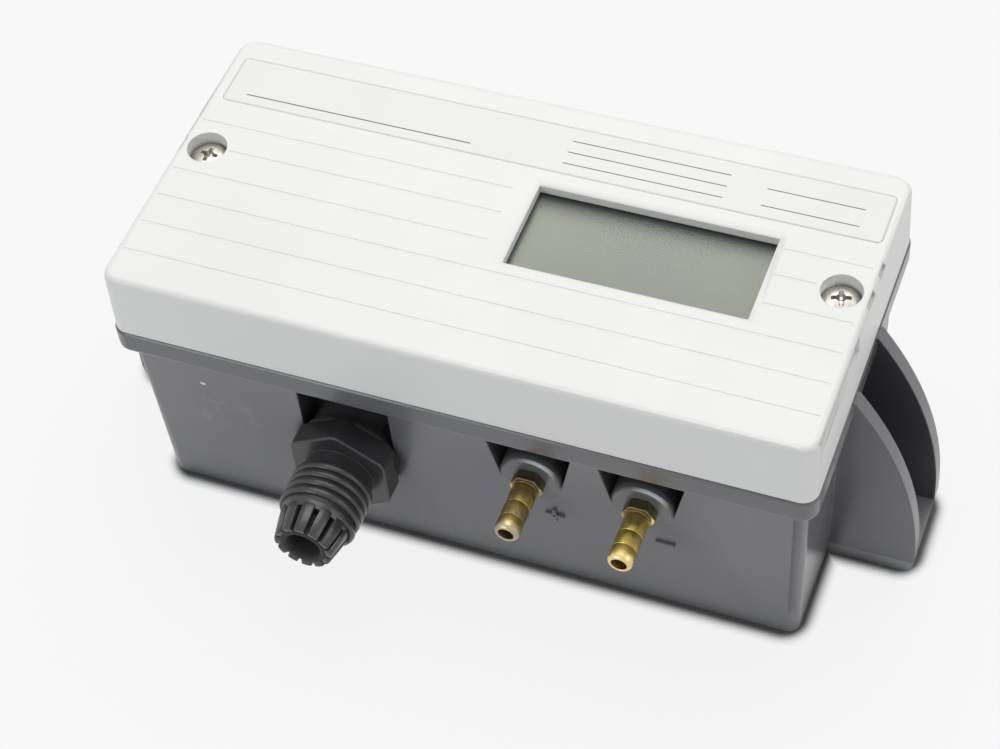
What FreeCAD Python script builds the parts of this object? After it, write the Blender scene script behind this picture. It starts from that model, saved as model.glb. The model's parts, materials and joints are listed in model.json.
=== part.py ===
# Differential pressure transmitter for a wall or panel: a hollow moulded base with a
# gusseted fixing tab at each end, a grooved cover with a display window, two brass hose
# barbs, a nylon cable gland, and the sensing capsule and electronics inside.
# Millimetres. Origin: centre of the flat back face. +X along the length, +Z out of the
# cover, and the barbs and the gland point along -Y.
import FreeCAD, Part
import os
from math import asin, cos, radians, sin, sqrt, tan

V = FreeCAD.Vector
UP = V(0, 0, 1)
DOWN = V(0, 0, -1)
OUTWARD = V(0, -1, 0)
INWARD = V(0, 1, 0)

# Clearances shared by every fit
fit_clearance = 0.05
loose_clearance = 0.2
overrun = 1.0

# Base housing
base_length = 134.4
base_depth = 62.0
base_height = 48.3
base_draft = 1.4
base_corner_radius = 2.5
base_wall = 2.5
base_floor = 2.5
base_bottom_chamfer = 0.9

# Rim round the top of the base, and the gasket between base and cover
rim_overhang_x = 3.25
rim_overhang_y = 3.65
rim_height = 5.5
rim_corner_radius = 3.4
rim_lower_radius = 1.2
rim_upper_chamfer = 0.3
groove_inset = 2.25
groove_width = 1.8
groove_depth = 2.2
tongue_width = 1.2
tongue_height = 1.0

# Fixing tabs, one at each end
tab_length = 17.3
tab_thickness = 3.0
tab_toe = 2.0
tab_toe_rise = 0.8
gusset_spacing = 13.0
gusset_thickness = 3.25
gusset_top_proud = 0.45
gusset_arc_height = 6.0
tab_hole_radius = 2.4
tab_hole_offset = 1.15

# Cover
cover_set_back = 0.25
cover_height = 15.3
cover_corner_radius = 3.2
cover_taper = 0.3
cover_wall = 2.6
cover_plate = 2.6
cover_top_radius = 1.4
cover_lower_chamfer = 0.3

# Grooves and end details of the cover
line_places = (-26.0, -18.5, -11.2, -3.9, 3.3, 9.8)
line_end_gap = 2.0
line_width = 0.5
line_depth = 0.35
line_screw_gap = 4.8
line_window_gap = 2.9
end_recess_depth = 0.9
end_recess_height = 3.8
end_lip = 0.8
end_recess_stop = -6.0
slit_width = 0.5
slit_depth = 0.8
slit_inset = 0.65
slits = ((0.6, 5.1), (8.7, 12.2))

# Display window
window_inset = 41.35
window_centre_y = 2.55
window_length = 47.6
window_depth = 20.5
bevel_side = 1.55
bevel_front = 1.0
bevel_drop = 0.85
pane_margin = 1.5
pane_thickness = 0.5

# Label film in its shallow seat
label_end_gap = 2.7
label_depth = 12.3
label_centre_x = 0.5
label_rear_inset = 11.95
label_corner_radius = 1.4
label_seat_depth = 0.15
label_thickness = 0.2

# Cover screws and the inserts that take them
screw_inset = 3.1
screw_place_y = 3.1
screw_sink = 1.7
screw_head_radius = 3.7
screw_head_height = 2.4
screw_head_chamfer = 0.8
screw_shank_radius = 1.9
screw_length = 20.0
counterbore_radius = 4.0
cover_post_radius = 5.5
column_radius = 4.3
insert_radius = 2.6
insert_length = 10.0
insert_sink = 2.8
recess_arm = 2.1
recess_width = 0.75
recess_depth = 1.5

# Pressure ports
port_height = 31.2
high_port_inset = 52.8
low_port_inset = 30.5
port_boss_radius = 6.25
port_boss_proud = 0.55
port_boss_edge = 0.6
port_pocket_lean = 13.0
pocket_depth = 5.0

# Hose barbs
barb_hex = 6.35
barb_hex_length = 2.3
barb_radius = 2.5
barb_neck_radius = 1.95
barb_collar_gap = 1.1
barb_pitch = 3.3
barb_teeth = 3
barb_bore_radius = 1.55
barb_tip_radius = 1.85
barb_thread_radius = 2.6
barb_tail_length = 6.0
barb_tail_radius = 2.0

# Cable gland
gland_x = -23.6
gland_height = 24.6
gland_boss_radius = 9.5
gland_boss_proud = 0.3
gland_washer_thickness = 0.7
gland_washer_radius = 10.4
gland_hex = 20.0
gland_hex_corner_radius = 10.7
gland_hex_length = 5.0
gland_hex_turn = 30.0
gland_neck_radius = 7.4
gland_neck_length = 1.6
gland_thread_radius = 8.2
gland_thread_length = 10.0
gland_finger_length = 7.0
gland_finger_root_radius = 7.0
gland_finger_tip_radius = 5.9
gland_finger_count = 12
gland_finger_slot = 0.9
gland_bore_radius = 5.0
gland_tail_radius = 7.9
gland_tail_length = 13.5
gland_seal_bore = 3.4
gland_seal_length = 13.0
gland_seal_recess = 1.2
locknut_hex = 19.0
locknut_thickness = 4.5

# Main circuit board and what holds it
board_left_gap = 15.2
board_right_gap = 19.2
board_front_gap = 15.0
board_rear_gap = 3.0
board_thickness = 1.6
board_hole_inset = 4.0
standoff_radius = 3.0
small_screw_radius = 1.2
small_screw_head_radius = 2.3
small_screw_head_height = 1.6
small_screw_grip = 5.0
small_slot_width = 0.5

# Pressure sensing capsule
capsule_sides = 8
capsule_flat_radius = 17.0
capsule_board_gap = 0.6
capsule_inset = 12.0
capsule_half = 7.0
diaphragm_thickness = 0.3
chamber_radius = 12.6
chamber_depth = 0.6
electrode_chamber_depth = 1.5
electrode_radius = 9.0
electrode_thickness = 0.9
electrode_stand_off = 0.35
electrode_stem_radius = 0.6
electrode_stem_length = 3.0
insulator_radius = 2.4
nipple_length = 7.0
nipple_bore_radius = 1.2
crossover_radius = 0.8
crossover_ring = 14.8
clamp_ring = 15.4
clamp_count = 4
clamp_grip = 4.0
bracket_thickness = 1.5
bracket_half_width = 11.0
bracket_foot = 9.0
bracket_rise = 30.0
hose_wall = 1.4

# Display hung under the cover
lcd_length = 50.8
lcd_depth = 30.5
lcd_thickness = 2.8
lcd_gap = 0.2
bezel_wall = 2.0
strip_height = 2.0
strip_width = 2.5
strip_inset = 0.7
strip_end = 2.6
display_board_side = 5.1
display_board_depth = 37.0
display_board_thickness = 1.6
display_boss_radius = 2.4
display_boss_inset = 2.3
display_boss_y_inset = 4.5

# Ribbon between the display and the main board
plug_inset_x = 12.65
plug_inset_y = 4.05
plug_length = 15.0
plug_depth = 6.0
plug_height = 5.0
ribbon_width = 12.7
ribbon_thickness = 0.9
ribbon_bow = 4.0

# Terminal block with three rising clamps
pole_pitch = 5.08
pole_count = 3
terminal_x = -23.6
terminal_inset = 3.0
terminal_depth = 11.5
terminal_height = 13.5
terminal_side_wall = 0.8
terminal_screw_inset = 6.0
terminal_screw_radius = 1.25
terminal_head_radius = 1.9
terminal_head_height = 1.6
terminal_web = 1.0
cage_width = 3.6
cage_depth = 5.4
cage_height = 7.0
cage_floor = 0.6
cage_roof = 1.4
cage_side = 0.45
cage_lift = 1.125
clamp_travel = 2.0
rail_width = 2.2
rail_thickness = 0.8
rail_wire_gap = 3.4
pin_reach = 2.2

# Zero and span trimmers
trimmer_side = 9.5
trimmer_height = 4.9
rotor_radius = 2.9
rotor_floor = 2.0
rotor_proud = 0.4
rotor_slot_width = 0.7
rotor_slot_depth = 0.9
zero_trimmer_x = -41.0
span_trimmer_x = -27.0
trimmer_inset = 14.0

# Other parts on the main board
chip_offset = 0.5
chip_inset = 16.0
chip_side = 10.0
chip_height = 2.2
chip_lift = 0.3
lead_count = 6
lead_pitch = 1.27
lead_width = 0.45
lead_reach = 1.2
capacitor_radius = 4.0
capacitor_height = 11.0
capacitor_places = ((-44.0, 12.0), (-6.0, 8.0))

# Small hidden rounds are prisms with this many sides, and larger ones with this many
small_sides = 10
large_sides = 24

# Places and levels worked out from the sizes above
rim_length = base_length + 2 * rim_overhang_x
rim_depth = base_depth + 2 * rim_overhang_y
cover_length = rim_length - 2 * cover_set_back
cover_depth = rim_depth - 2 * cover_set_back
tab_reach = base_length / 2 + tab_length
tab_hole_x = base_length / 2 + tab_length / 2 + tab_hole_offset
screw_place_x = base_length / 2 - screw_inset
line_reach = cover_length / 2 - line_end_gap
line_short_reach = screw_place_x - line_screw_gap
window_centre_x = base_length / 2 - window_inset
high_port_x = base_length / 2 - high_port_inset
low_port_x = base_length / 2 - low_port_inset
label_length = cover_length - 2 * label_end_gap
label_centre_y = cover_depth / 2 - label_rear_inset
board_left = board_left_gap - base_length / 2
board_right = base_length / 2 - board_right_gap
board_front = board_front_gap - base_depth / 2
board_rear = base_depth / 2 - board_rear_gap
board_underside = port_height - capsule_flat_radius - capsule_board_gap - board_thickness
capsule_front = board_front + capsule_inset
terminal_front = board_front + terminal_inset
terminal_screw_y = terminal_front + terminal_screw_inset
trimmer_y = board_rear - trimmer_inset
chip_y = board_rear - chip_inset
display_board_length = lcd_length + 2 * bezel_wall + 2 * display_board_side
plug_x = window_centre_x - display_board_length / 2 + plug_inset_x
plug_y = window_centre_y + display_board_depth / 2 - plug_inset_y
chip_x = (span_trimmer_x + plug_x) / 2 - chip_offset
cover_top = base_height + cover_height
plate_under = cover_top - cover_plate
rim_under = base_height - rim_height
draft_slope = tan(radians(base_draft))
board_top = board_underside + board_thickness
pane_under = plate_under - pane_thickness
lcd_top = pane_under - lcd_gap
lcd_under = lcd_top - lcd_thickness
display_board_top = lcd_under - strip_height
display_board_under = display_board_top - display_board_thickness


def box(x_low, x_high, y_low, y_high, z_low, z_high):
    return Part.makeBox(x_high - x_low, y_high - y_low, z_high - z_low, V(x_low, y_low, z_low))


def rod(radius, start, direction, length):
    return Part.makeCylinder(radius, length, start, direction)


def ring(outer_radius, inner_radius, start, direction, length):
    hole_start = start - direction * overrun
    hole = rod(inner_radius, hole_start, direction, length + 2 * overrun)
    return rod(outer_radius, start, direction, length).cut(hole)


def stand(shape, start, direction):
    # A shape made upright at the origin is turned to a direction and moved to its start
    shape.Placement = FreeCAD.Placement(start, FreeCAD.Rotation(UP, direction))
    return shape


def turned(profile, start, direction):
    # profile: (radius, distance along the axis) points of a closed outline, outside first.
    # The round is made of flat facets, so that a stepped piece stays light
    angles = [radians(360 * side / large_sides) for side in range(large_sides + 1)]
    rings = [[V(radius * cos(a), radius * sin(a), along) for a in angles]
             for radius, along in profile]
    faces = []
    for lower, upper in zip(rings, rings[1:] + rings[:1]):
        for side in range(large_sides):
            points = [lower[side], lower[side + 1], upper[side + 1], upper[side]]
            faces.append(Part.Face(Part.makePolygon(points + [points[0]])))
    solid = Part.makeSolid(Part.makeShell(faces))
    return stand(solid, start, direction)


def prism(corner_radius, sides, start, direction, length, turn=0.0):
    angles = [radians(turn + 360 * side / sides) for side in range(sides)]
    points = [V(corner_radius * cos(a), corner_radius * sin(a), 0) for a in angles]
    face = Part.Face(Part.makePolygon(points + [points[0]]))
    return stand(face.extrude(V(0, 0, length)), start, direction)


def hex_prism(across_flats, length, start, direction, turn=0.0):
    return prism(across_flats / sqrt(3), 6, start, direction, length, turn)


def flat_prism(flat_radius, sides, start, direction, length):
    # The flats lie at the given radius, and one of them is square to an axis
    half_side = 180 / sides
    return prism(flat_radius / cos(radians(half_side)), sides, start, direction, length,
                 half_side)


def small_rod(radius, start, direction, length):
    return prism(radius, small_sides, start, direction, length, 180 / small_sides)


def small_hole(radius, start, direction, length):
    # Clears a small rod of the same radius
    return flat_prism(radius, small_sides, start, direction, length)


def small_tube(outer_radius, inner_radius, start, direction, length):
    hole_start = start - direction * overrun
    hole = small_hole(inner_radius, hole_start, direction, length + 2 * overrun)
    return small_rod(outer_radius, start, direction, length).cut(hole)


def rounded_outline(half_x, half_y, radius, z, centre_x=0.0, centre_y=0.0):
    diagonal = radius * (1 - sqrt(0.5))
    edges = []
    corners = ((1, -1), (1, 1), (-1, 1), (-1, -1))
    starts = []
    ends = []
    middles = []
    for sign_x, sign_y in corners:
        tip = V(centre_x + sign_x * half_x, centre_y + sign_y * half_y, z)
        along_x = tip - V(sign_x * radius, 0, 0)
        along_y = tip - V(0, sign_y * radius, 0)
        middles.append(tip - V(sign_x * diagonal, sign_y * diagonal, 0))
        runs_into_x = sign_x * sign_y < 0
        starts.append(along_x if runs_into_x else along_y)
        ends.append(along_y if runs_into_x else along_x)
    for corner in range(4):
        edges.append(Part.Arc(starts[corner], middles[corner], ends[corner]).toShape())
        edges.append(Part.LineSegment(ends[corner], starts[(corner + 1) % 4]).toShape())
    return Part.Wire(edges)


def rounded_block(half_x, half_y, radius, z_low, z_high, centre_x=0.0, centre_y=0.0):
    outline = rounded_outline(half_x, half_y, radius, z_low, centre_x, centre_y)
    return Part.Face(outline).extrude(V(0, 0, z_high - z_low))


def tapered_block(half_x, half_y, radius, z_low, z_high, slope):
    # slope: how much each side moves outwards for each millimetre of height
    growth = slope * (z_high - z_low)
    signs = ((-1, -1), (1, -1), (1, 1), (-1, 1))
    low = [V(sx * half_x, sy * half_y, z_low) for sx, sy in signs]
    high = [V(sx * (half_x + growth), sy * (half_y + growth), z_high) for sx, sy in signs]
    outlines = [low[::-1], high]
    for side in range(4):
        after = (side + 1) % 4
        outlines.append([low[side], low[after], high[after], high[side]])
    faces = [Part.Face(Part.makePolygon(points + [points[0]])) for points in outlines]
    block = Part.makeSolid(Part.makeShell(faces))
    upright = [e for e in block.Edges if e.BoundBox.ZLength > (z_high - z_low) / 2]
    return block.makeFillet(radius, upright)


def edges_at(shape, z):
    return [e for e in shape.Edges if all(abs(v.Point.z - z) < 1e-4 for v in e.Vertexes)]


def fused(shapes):
    return shapes[0].multiFuse(shapes[1:]).removeSplitter()


def save(name, solids):
    shape = solids[0] if len(solids) == 1 else Part.makeCompound(solids)
    shape.exportStep("parts/" + name + ".step")


def wall_face(height):
    # Outside of the front wall at a height
    return -(base_depth / 2 + height * draft_slope)


# ---------------------------------------------------------------- base housing

def gasket_ring(width, z_low, z_high):
    # A band of the given width along the middle of the gasket groove
    half_x = rim_length / 2 - groove_inset
    half_y = rim_depth / 2 - groove_inset
    radius = rim_corner_radius - groove_inset
    outer = rounded_block(half_x + width / 2, half_y + width / 2, radius + width / 2,
                          z_low, z_high)
    inner = rounded_block(half_x - width / 2, half_y - width / 2, radius - width / 2,
                          z_low, z_high)
    return outer.cut(inner)


def base_envelope():
    half_x = base_length / 2
    half_y = base_depth / 2
    walls = tapered_block(half_x, half_y, base_corner_radius, 0, base_height, draft_slope)
    walls = walls.makeChamfer(base_bottom_chamfer, edges_at(walls, 0))
    rim = rounded_block(rim_length / 2, rim_depth / 2, rim_corner_radius,
                        rim_under, base_height)
    rim = rim.makeFillet(rim_lower_radius, edges_at(rim, rim_under))
    rim = rim.makeChamfer(rim_upper_chamfer, edges_at(rim, base_height))
    return walls.fuse(rim)


def base_cavity():
    half_x = base_length / 2 - base_wall + base_floor * draft_slope
    half_y = base_depth / 2 - base_wall + base_floor * draft_slope
    radius = base_corner_radius / 2
    return tapered_block(half_x, half_y, radius, base_floor, base_height + overrun, draft_slope)


def pocket_outline(centre_x, height, boss_radius, lean, margin, y):
    # Sides touch the boss and lean outwards up to the underside of the rim
    a = radians(lean)
    reach = boss_radius + margin
    foot_x = reach * cos(a) - margin * tan(a)
    foot_z = height - reach * sin(a) - margin
    top_x = foot_x + (rim_under - foot_z) * tan(a)
    points = [V(centre_x - foot_x, y, foot_z), V(centre_x + foot_x, y, foot_z),
              V(centre_x + top_x, y, rim_under), V(centre_x - top_x, y, rim_under)]
    return Part.makePolygon(points + [points[0]])


def boss_back():
    return wall_face(port_height) + pocket_depth + base_wall


def boss_parts(centre_x, height, radius, lean, proud, edge):
    # The boss, the block behind its relief pocket, and the pocket itself
    front = wall_face(height) - proud
    length = boss_back() - front
    boss = rod(radius, V(centre_x, front, height), INWARD, length)
    if edge > 0:
        front_edges = [e for e in boss.Edges if e.BoundBox.YMax < front + 1e-4]
        boss = boss.makeChamfer(edge, front_edges)
    outer_y = wall_face(height) + base_wall / 2
    shell_face = Part.Face(pocket_outline(centre_x, height, radius, lean, base_wall, outer_y))
    shell = shell_face.extrude(V(0, boss_back() - outer_y, 0))
    roof_z = shell.BoundBox.ZMax
    roof = box(shell.BoundBox.XMin, shell.BoundBox.XMax, outer_y, boss_back(),
               roof_z, roof_z + base_wall)
    cut_start = wall_face(rim_under) - overrun
    cut_face = Part.Face(pocket_outline(centre_x, height, radius, lean, 0, cut_start))
    pocket_floor = wall_face(height) + pocket_depth
    pocket = cut_face.extrude(V(0, pocket_floor - cut_start, 0))
    return boss, shell.fuse(roof), pocket


def fixing_tab(side):
    # Plate and two gussets at one end; side is 1 at the right and -1 at the left
    root_x = base_length / 2 - base_wall / 2
    tip_x = rim_length / 2 + gusset_top_proud
    rise = base_height - gusset_arc_height
    run = tab_reach - tip_x
    arc_radius = (run ** 2 + rise ** 2) / (2 * run)
    half_angle = asin(rise / arc_radius) / 2
    middle = V(tab_reach - arc_radius * (1 - cos(half_angle)), 0,
               gusset_arc_height + arc_radius * sin(half_angle))
    start = V(tab_reach, 0, gusset_arc_height)
    end = V(tip_x, 0, base_height)
    toe = [V(root_x, 0, 0), V(tab_reach - tab_toe, 0, 0),
           V(tab_reach - tab_toe / 4, 0, tab_toe_rise), V(tab_reach, 0, tab_thickness), start]
    edges = [Part.LineSegment(a, b).toShape() for a, b in zip(toe[:-1], toe[1:])]
    edges.append(Part.Arc(start, middle, end).toShape())
    edges.append(Part.LineSegment(end, V(root_x, 0, base_height)).toShape())
    edges.append(Part.LineSegment(V(root_x, 0, base_height), toe[0]).toShape())
    profile = Part.Face(Part.Wire(edges))
    inner_y = gusset_spacing / 2
    outer_y = inner_y + gusset_thickness
    profile.translate(V(0, -outer_y, 0))
    block = profile.extrude(V(0, 2 * outer_y, 0))
    bay = box(root_x - overrun, tab_reach + overrun, -inner_y, inner_y,
              tab_thickness, base_height + overrun)
    tab = block.cut(bay)
    hole = rod(tab_hole_radius, V(tab_hole_x, 0, -overrun), UP, tab_thickness + 2 * overrun)
    tab = tab.cut(hole)
    return tab if side > 0 else tab.mirror(V(0, 0, 0), V(1, 0, 0))


def board_holes():
    return [(x, y) for x in (board_left + board_hole_inset, board_right - board_hole_inset)
            for y in (board_front + board_hole_inset, board_rear - board_hole_inset)]


def base_housing():
    envelope = base_envelope()
    cavity = base_cavity()
    shell = envelope.cut(cavity)
    adds = []
    cuts = []
    for x in (-screw_place_x, screw_place_x):
        column = rod(column_radius, V(x, screw_place_y, base_floor / 2), UP,
                     base_height - base_floor / 2)
        adds.append(column.common(envelope))
        insert_top = base_height - insert_sink
        cuts.append(small_hole(insert_radius + fit_clearance, V(x, screw_place_y,
                               insert_top - insert_length), UP, insert_length))
        cuts.append(small_hole(screw_shank_radius + loose_clearance, V(x, screw_place_y,
                               cover_top - screw_sink - screw_head_height
                               - screw_length - overrun), UP, screw_length))
    for x, y in board_holes():
        adds.append(small_rod(standoff_radius, V(x, y, base_floor / 2), UP,
                              board_underside - base_floor / 2))
        cuts.append(small_hole(small_screw_radius, V(x, y, base_floor), UP, board_underside))
    bosses = []
    pockets = []
    for x in (high_port_x, low_port_x):
        boss, block, pocket = boss_parts(x, port_height, port_boss_radius,
                                         port_pocket_lean, port_boss_proud, port_boss_edge)
        bosses.append(boss)
        adds.append(block)
        pockets.append(pocket)
        cuts.append(rod(barb_thread_radius + fit_clearance, V(x, wall_face(0) - 2 * overrun,
                        port_height), INWARD, 2 * base_wall + pocket_depth + 3 * overrun))
    boss, block, pocket = boss_parts(gland_x, gland_height, gland_boss_radius, 0,
                                     gland_boss_proud, 0)
    bosses.append(boss)
    adds.append(block)
    pockets.append(pocket)
    cuts.append(rod(gland_tail_radius + fit_clearance, V(gland_x, wall_face(0) - 2 * overrun,
                    gland_height), INWARD, 2 * base_wall + pocket_depth + 3 * overrun))
    shell = shell.multiFuse(adds)
    for pocket in pockets:
        shell = shell.cut(pocket)
    shell = shell.multiFuse(bosses + [fixing_tab(1), fixing_tab(-1)])
    cuts.append(gasket_ring(groove_width, base_height - groove_depth, base_height + overrun))
    for cut in cuts:
        shell = shell.cut(cut)
    return shell.removeSplitter()


# ---------------------------------------------------------------- cover

def window_cutter():
    top = cover_top + overrun
    bevel_low = cover_top - bevel_drop
    half_x = window_length / 2
    half_y = window_depth / 2
    opening = box(window_centre_x - half_x, window_centre_x + half_x,
                  window_centre_y - half_y, window_centre_y + half_y,
                  plate_under - overrun, top)
    outlines = []
    for z, grow_x, grow_y in ((bevel_low, 0, 0), (cover_top, bevel_side, bevel_front)):
        outlines.append(Part.makePolygon([
            V(window_centre_x - half_x - grow_x, window_centre_y - half_y - grow_y, z),
            V(window_centre_x + half_x + grow_x, window_centre_y - half_y - grow_y, z),
            V(window_centre_x + half_x + grow_x, window_centre_y + half_y + grow_y, z),
            V(window_centre_x - half_x - grow_x, window_centre_y + half_y + grow_y, z),
            V(window_centre_x - half_x - grow_x, window_centre_y - half_y - grow_y, z)]))
    return opening.fuse(Part.makeLoft(outlines, True, True))


def line_cutters():
    cutters = []
    window_left = window_centre_x - window_length / 2 - bevel_side - line_window_gap
    window_right = window_centre_x + window_length / 2 + bevel_side
    window_front = window_centre_y - window_depth / 2 - bevel_front
    window_rear = window_centre_y + window_depth / 2 + bevel_front
    for y in line_places:
        beside_screws = abs(y - screw_place_y) < counterbore_radius
        reach = line_short_reach if beside_screws else line_reach
        spans = [(-reach, reach)]
        if window_front < y < window_rear:
            spans = [(-reach, window_left), (window_right, reach)]
        for start, end in spans:
            cutters.append(box(start, end, y - line_width / 2, y + line_width / 2,
                               cover_top - line_depth, cover_top + overrun))
    return cutters


def display_boss_places():
    half_x = display_board_length / 2 - display_boss_inset
    half_y = display_board_depth / 2 - display_boss_y_inset
    return [(window_centre_x + sx * half_x, window_centre_y + sy * half_y)
            for sx in (-1, 1) for sy in (-1, 1)]


def label_block(grow, z_low, z_high):
    return rounded_block(label_length / 2 + grow, label_depth / 2 + grow,
                         label_corner_radius, z_low, z_high, label_centre_x, label_centre_y)


def front_cover():
    half_x = cover_length / 2
    half_y = cover_depth / 2
    slope = -cover_taper / cover_height
    outer = tapered_block(half_x, half_y, cover_corner_radius, base_height, cover_top, slope)
    outer = outer.makeFillet(cover_top_radius, edges_at(outer, cover_top))
    outer = outer.makeChamfer(cover_lower_chamfer, edges_at(outer, base_height))
    inner = rounded_block(half_x - cover_wall, half_y - cover_wall,
                          cover_corner_radius - cover_wall, base_height - overrun, plate_under)
    adds = [gasket_ring(tongue_width, base_height - tongue_height,
                        base_height + cover_lower_chamfer)]
    cuts = [window_cutter(), label_block(fit_clearance, cover_top - label_seat_depth,
                                         cover_top + overrun)]
    seat = cover_top - screw_sink - screw_head_height
    for x in (-screw_place_x, screw_place_x):
        post = rod(cover_post_radius, V(x, screw_place_y, base_height), UP, cover_height)
        adds.append(post.common(outer))
        cuts.append(rod(counterbore_radius, V(x, screw_place_y, seat), UP,
                        cover_height))
        cuts.append(small_hole(screw_shank_radius + loose_clearance,
                               V(x, screw_place_y, base_height - overrun), UP, cover_height))
    for x, y in display_boss_places():
        adds.append(small_rod(display_boss_radius, V(x, y, display_board_top), UP,
                              plate_under - display_board_top + cover_plate / 2))
        cuts.append(small_hole(small_screw_radius, V(x, y, display_board_top - overrun), UP,
                               small_screw_grip - display_board_thickness + 2 * overrun))
    recess_top = cover_top - end_lip
    for side in (-1, 1):
        wall_x = side * (half_x - end_recess_depth)
        beyond = side * (half_x + overrun)
        front_y = -half_y + cover_corner_radius
        cuts.append(box(min(wall_x, beyond), max(wall_x, beyond), front_y, end_recess_stop,
                        recess_top - end_recess_height, recess_top))
        slit_x = side * (half_x - slit_inset)
        for start, end in slits:
            cuts.append(box(slit_x - slit_width / 2, slit_x + slit_width / 2, start, end,
                            cover_top - cover_top_radius / 2 - slit_depth, cover_top))
    cover = outer.cut(inner).multiFuse(adds)
    for cut in cuts + line_cutters():
        cover = cover.cut(cut)
    return cover.removeSplitter()


# ---------------------------------------------------------------- fasteners

def cross_recess(head_top, axis_x, axis_y):
    arms = [box(axis_x - recess_arm, axis_x + recess_arm, axis_y - recess_width / 2,
                axis_y + recess_width / 2, head_top - recess_depth, head_top + overrun),
            box(axis_x - recess_width / 2, axis_x + recess_width / 2, axis_y - recess_arm,
                axis_y + recess_arm, head_top - recess_depth, head_top + overrun)]
    return arms[0].fuse(arms[1])


def cover_screw(x):
    seat = cover_top - screw_sink - screw_head_height
    shank_end = seat - screw_length
    head = rod(screw_head_radius, V(x, screw_place_y, seat), UP, screw_head_height)
    rim = [e for e in head.Edges if e.BoundBox.ZMin > seat + screw_head_height - 1e-4]
    head = head.makeChamfer(screw_head_chamfer, rim)
    shank = small_rod(screw_shank_radius, V(x, screw_place_y, shank_end), UP, screw_length)
    return head.fuse(shank).cut(cross_recess(seat + screw_head_height, x, screw_place_y))


def small_screw(x, y, seat, grip, direction):
    # direction points from the seat to the top of the head
    head = small_rod(small_screw_head_radius, V(x, y, seat), direction,
                     small_screw_head_height)
    shank = small_rod(small_screw_radius - fit_clearance, V(x, y, seat) - direction * grip,
                      direction, grip)
    screw = head.fuse(shank)
    low = seat + direction.z * small_screw_head_height / 2
    high = seat + direction.z * (small_screw_head_height + overrun)
    slot = box(x - small_screw_head_radius, x + small_screw_head_radius,
               y - small_slot_width / 2, y + small_slot_width / 2,
               min(low, high), max(low, high))
    return screw.cut(slot)


# ---------------------------------------------------------------- ports and gland

def barb(x):
    front = wall_face(port_height) - port_boss_proud
    start = V(x, boss_back() + barb_tail_length, port_height)
    boss_start = barb_tail_length
    hex_start = start.y - front
    hex_end = hex_start + barb_hex_length
    profile = [(barb_bore_radius, 0), (barb_tail_radius, 0), (barb_tail_radius, boss_start),
               (barb_thread_radius, boss_start), (barb_thread_radius, hex_end),
               (barb_neck_radius, hex_end)]
    along = hex_end + barb_collar_gap
    for tooth in range(barb_teeth):
        last = tooth == barb_teeth - 1
        profile.append((barb_neck_radius, along))
        profile.append((barb_radius, along))
        profile.append((barb_tip_radius if last else barb_neck_radius, along + barb_pitch))
        along += barb_pitch
    profile.append((barb_bore_radius, along))
    stem = turned(profile, start, OUTWARD)
    collar = hex_prism(barb_hex, barb_hex_length, V(x, front, port_height), OUTWARD)
    bore = rod(barb_bore_radius, V(x, front + overrun, port_height), OUTWARD,
               barb_hex_length + 2 * overrun)
    return stem.fuse(collar.cut(bore)).removeSplitter()


def hose(x):
    # Soft tube from the tail of a barb to the capsule's nipple
    start = boss_back() + fit_clearance
    end = capsule_front - fit_clearance
    inner = barb_tail_radius + fit_clearance
    return small_tube(inner + hose_wall, inner, V(x, start, port_height), INWARD,
                      end - start)


def gland_front():
    # Face of the washer that the gland's hexagon presses on
    return wall_face(gland_height) - gland_boss_proud - gland_washer_thickness


def gland_body():
    seat = gland_front()
    tail_end = V(gland_x, seat + gland_tail_length, gland_height)
    thread_start = gland_tail_length + gland_hex_length + gland_neck_length
    finger_start = thread_start + gland_thread_length
    profile = [(gland_bore_radius, 0), (gland_tail_radius, 0),
               (gland_tail_radius, gland_tail_length), (gland_neck_radius, gland_tail_length),
               (gland_neck_radius, thread_start), (gland_thread_radius, thread_start),
               (gland_thread_radius, finger_start), (gland_finger_root_radius, finger_start),
               (gland_finger_tip_radius, finger_start + gland_finger_length),
               (gland_bore_radius, finger_start + gland_finger_length)]
    body = turned(profile, tail_end, OUTWARD)
    nut = hex_prism(gland_hex, gland_hex_length, V(gland_x, seat, gland_height), OUTWARD,
                    gland_hex_turn)
    nut = nut.common(rod(gland_hex_corner_radius, V(gland_x, seat, gland_height), OUTWARD,
                         gland_hex_length))
    nut = nut.cut(rod(gland_neck_radius - overrun, V(gland_x, seat + overrun, gland_height),
                      OUTWARD, gland_hex_length + 2 * overrun))
    body = body.fuse(nut)
    slot_start = seat + gland_tail_length - finger_start - overrun / 2
    slot_length = gland_finger_length + overrun
    for finger in range(gland_finger_count):
        slot = box(-gland_finger_slot / 2, gland_finger_slot / 2, -slot_length, 0,
                   gland_bore_radius - overrun, gland_thread_radius)
        slot.rotate(V(0, 0, 0), V(0, 1, 0), (finger + 0.5) * 360 / gland_finger_count)
        slot.translate(V(gland_x, slot_start, gland_height))
        body = body.cut(slot)
    return body.removeSplitter()


def gland_tip():
    # Where the fingers of the gland end
    length = (gland_hex_length + gland_neck_length + gland_thread_length
              + gland_finger_length)
    return gland_front() - length


def gland_seal():
    start = V(gland_x, gland_tip() + gland_seal_recess, gland_height)
    seal = prism(gland_bore_radius - fit_clearance, large_sides, start, INWARD,
                 gland_seal_length)
    return seal.cut(rod(gland_seal_bore, start - INWARD * overrun, INWARD,
                        gland_seal_length + 2 * overrun))


def gland_washer():
    start = V(gland_x, gland_front(), gland_height)
    hole = flat_prism(gland_tail_radius + fit_clearance, large_sides,
                      start - INWARD * overrun, INWARD, gland_washer_thickness + 2 * overrun)
    return prism(gland_washer_radius, large_sides, start, INWARD,
                 gland_washer_thickness).cut(hole)


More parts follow.
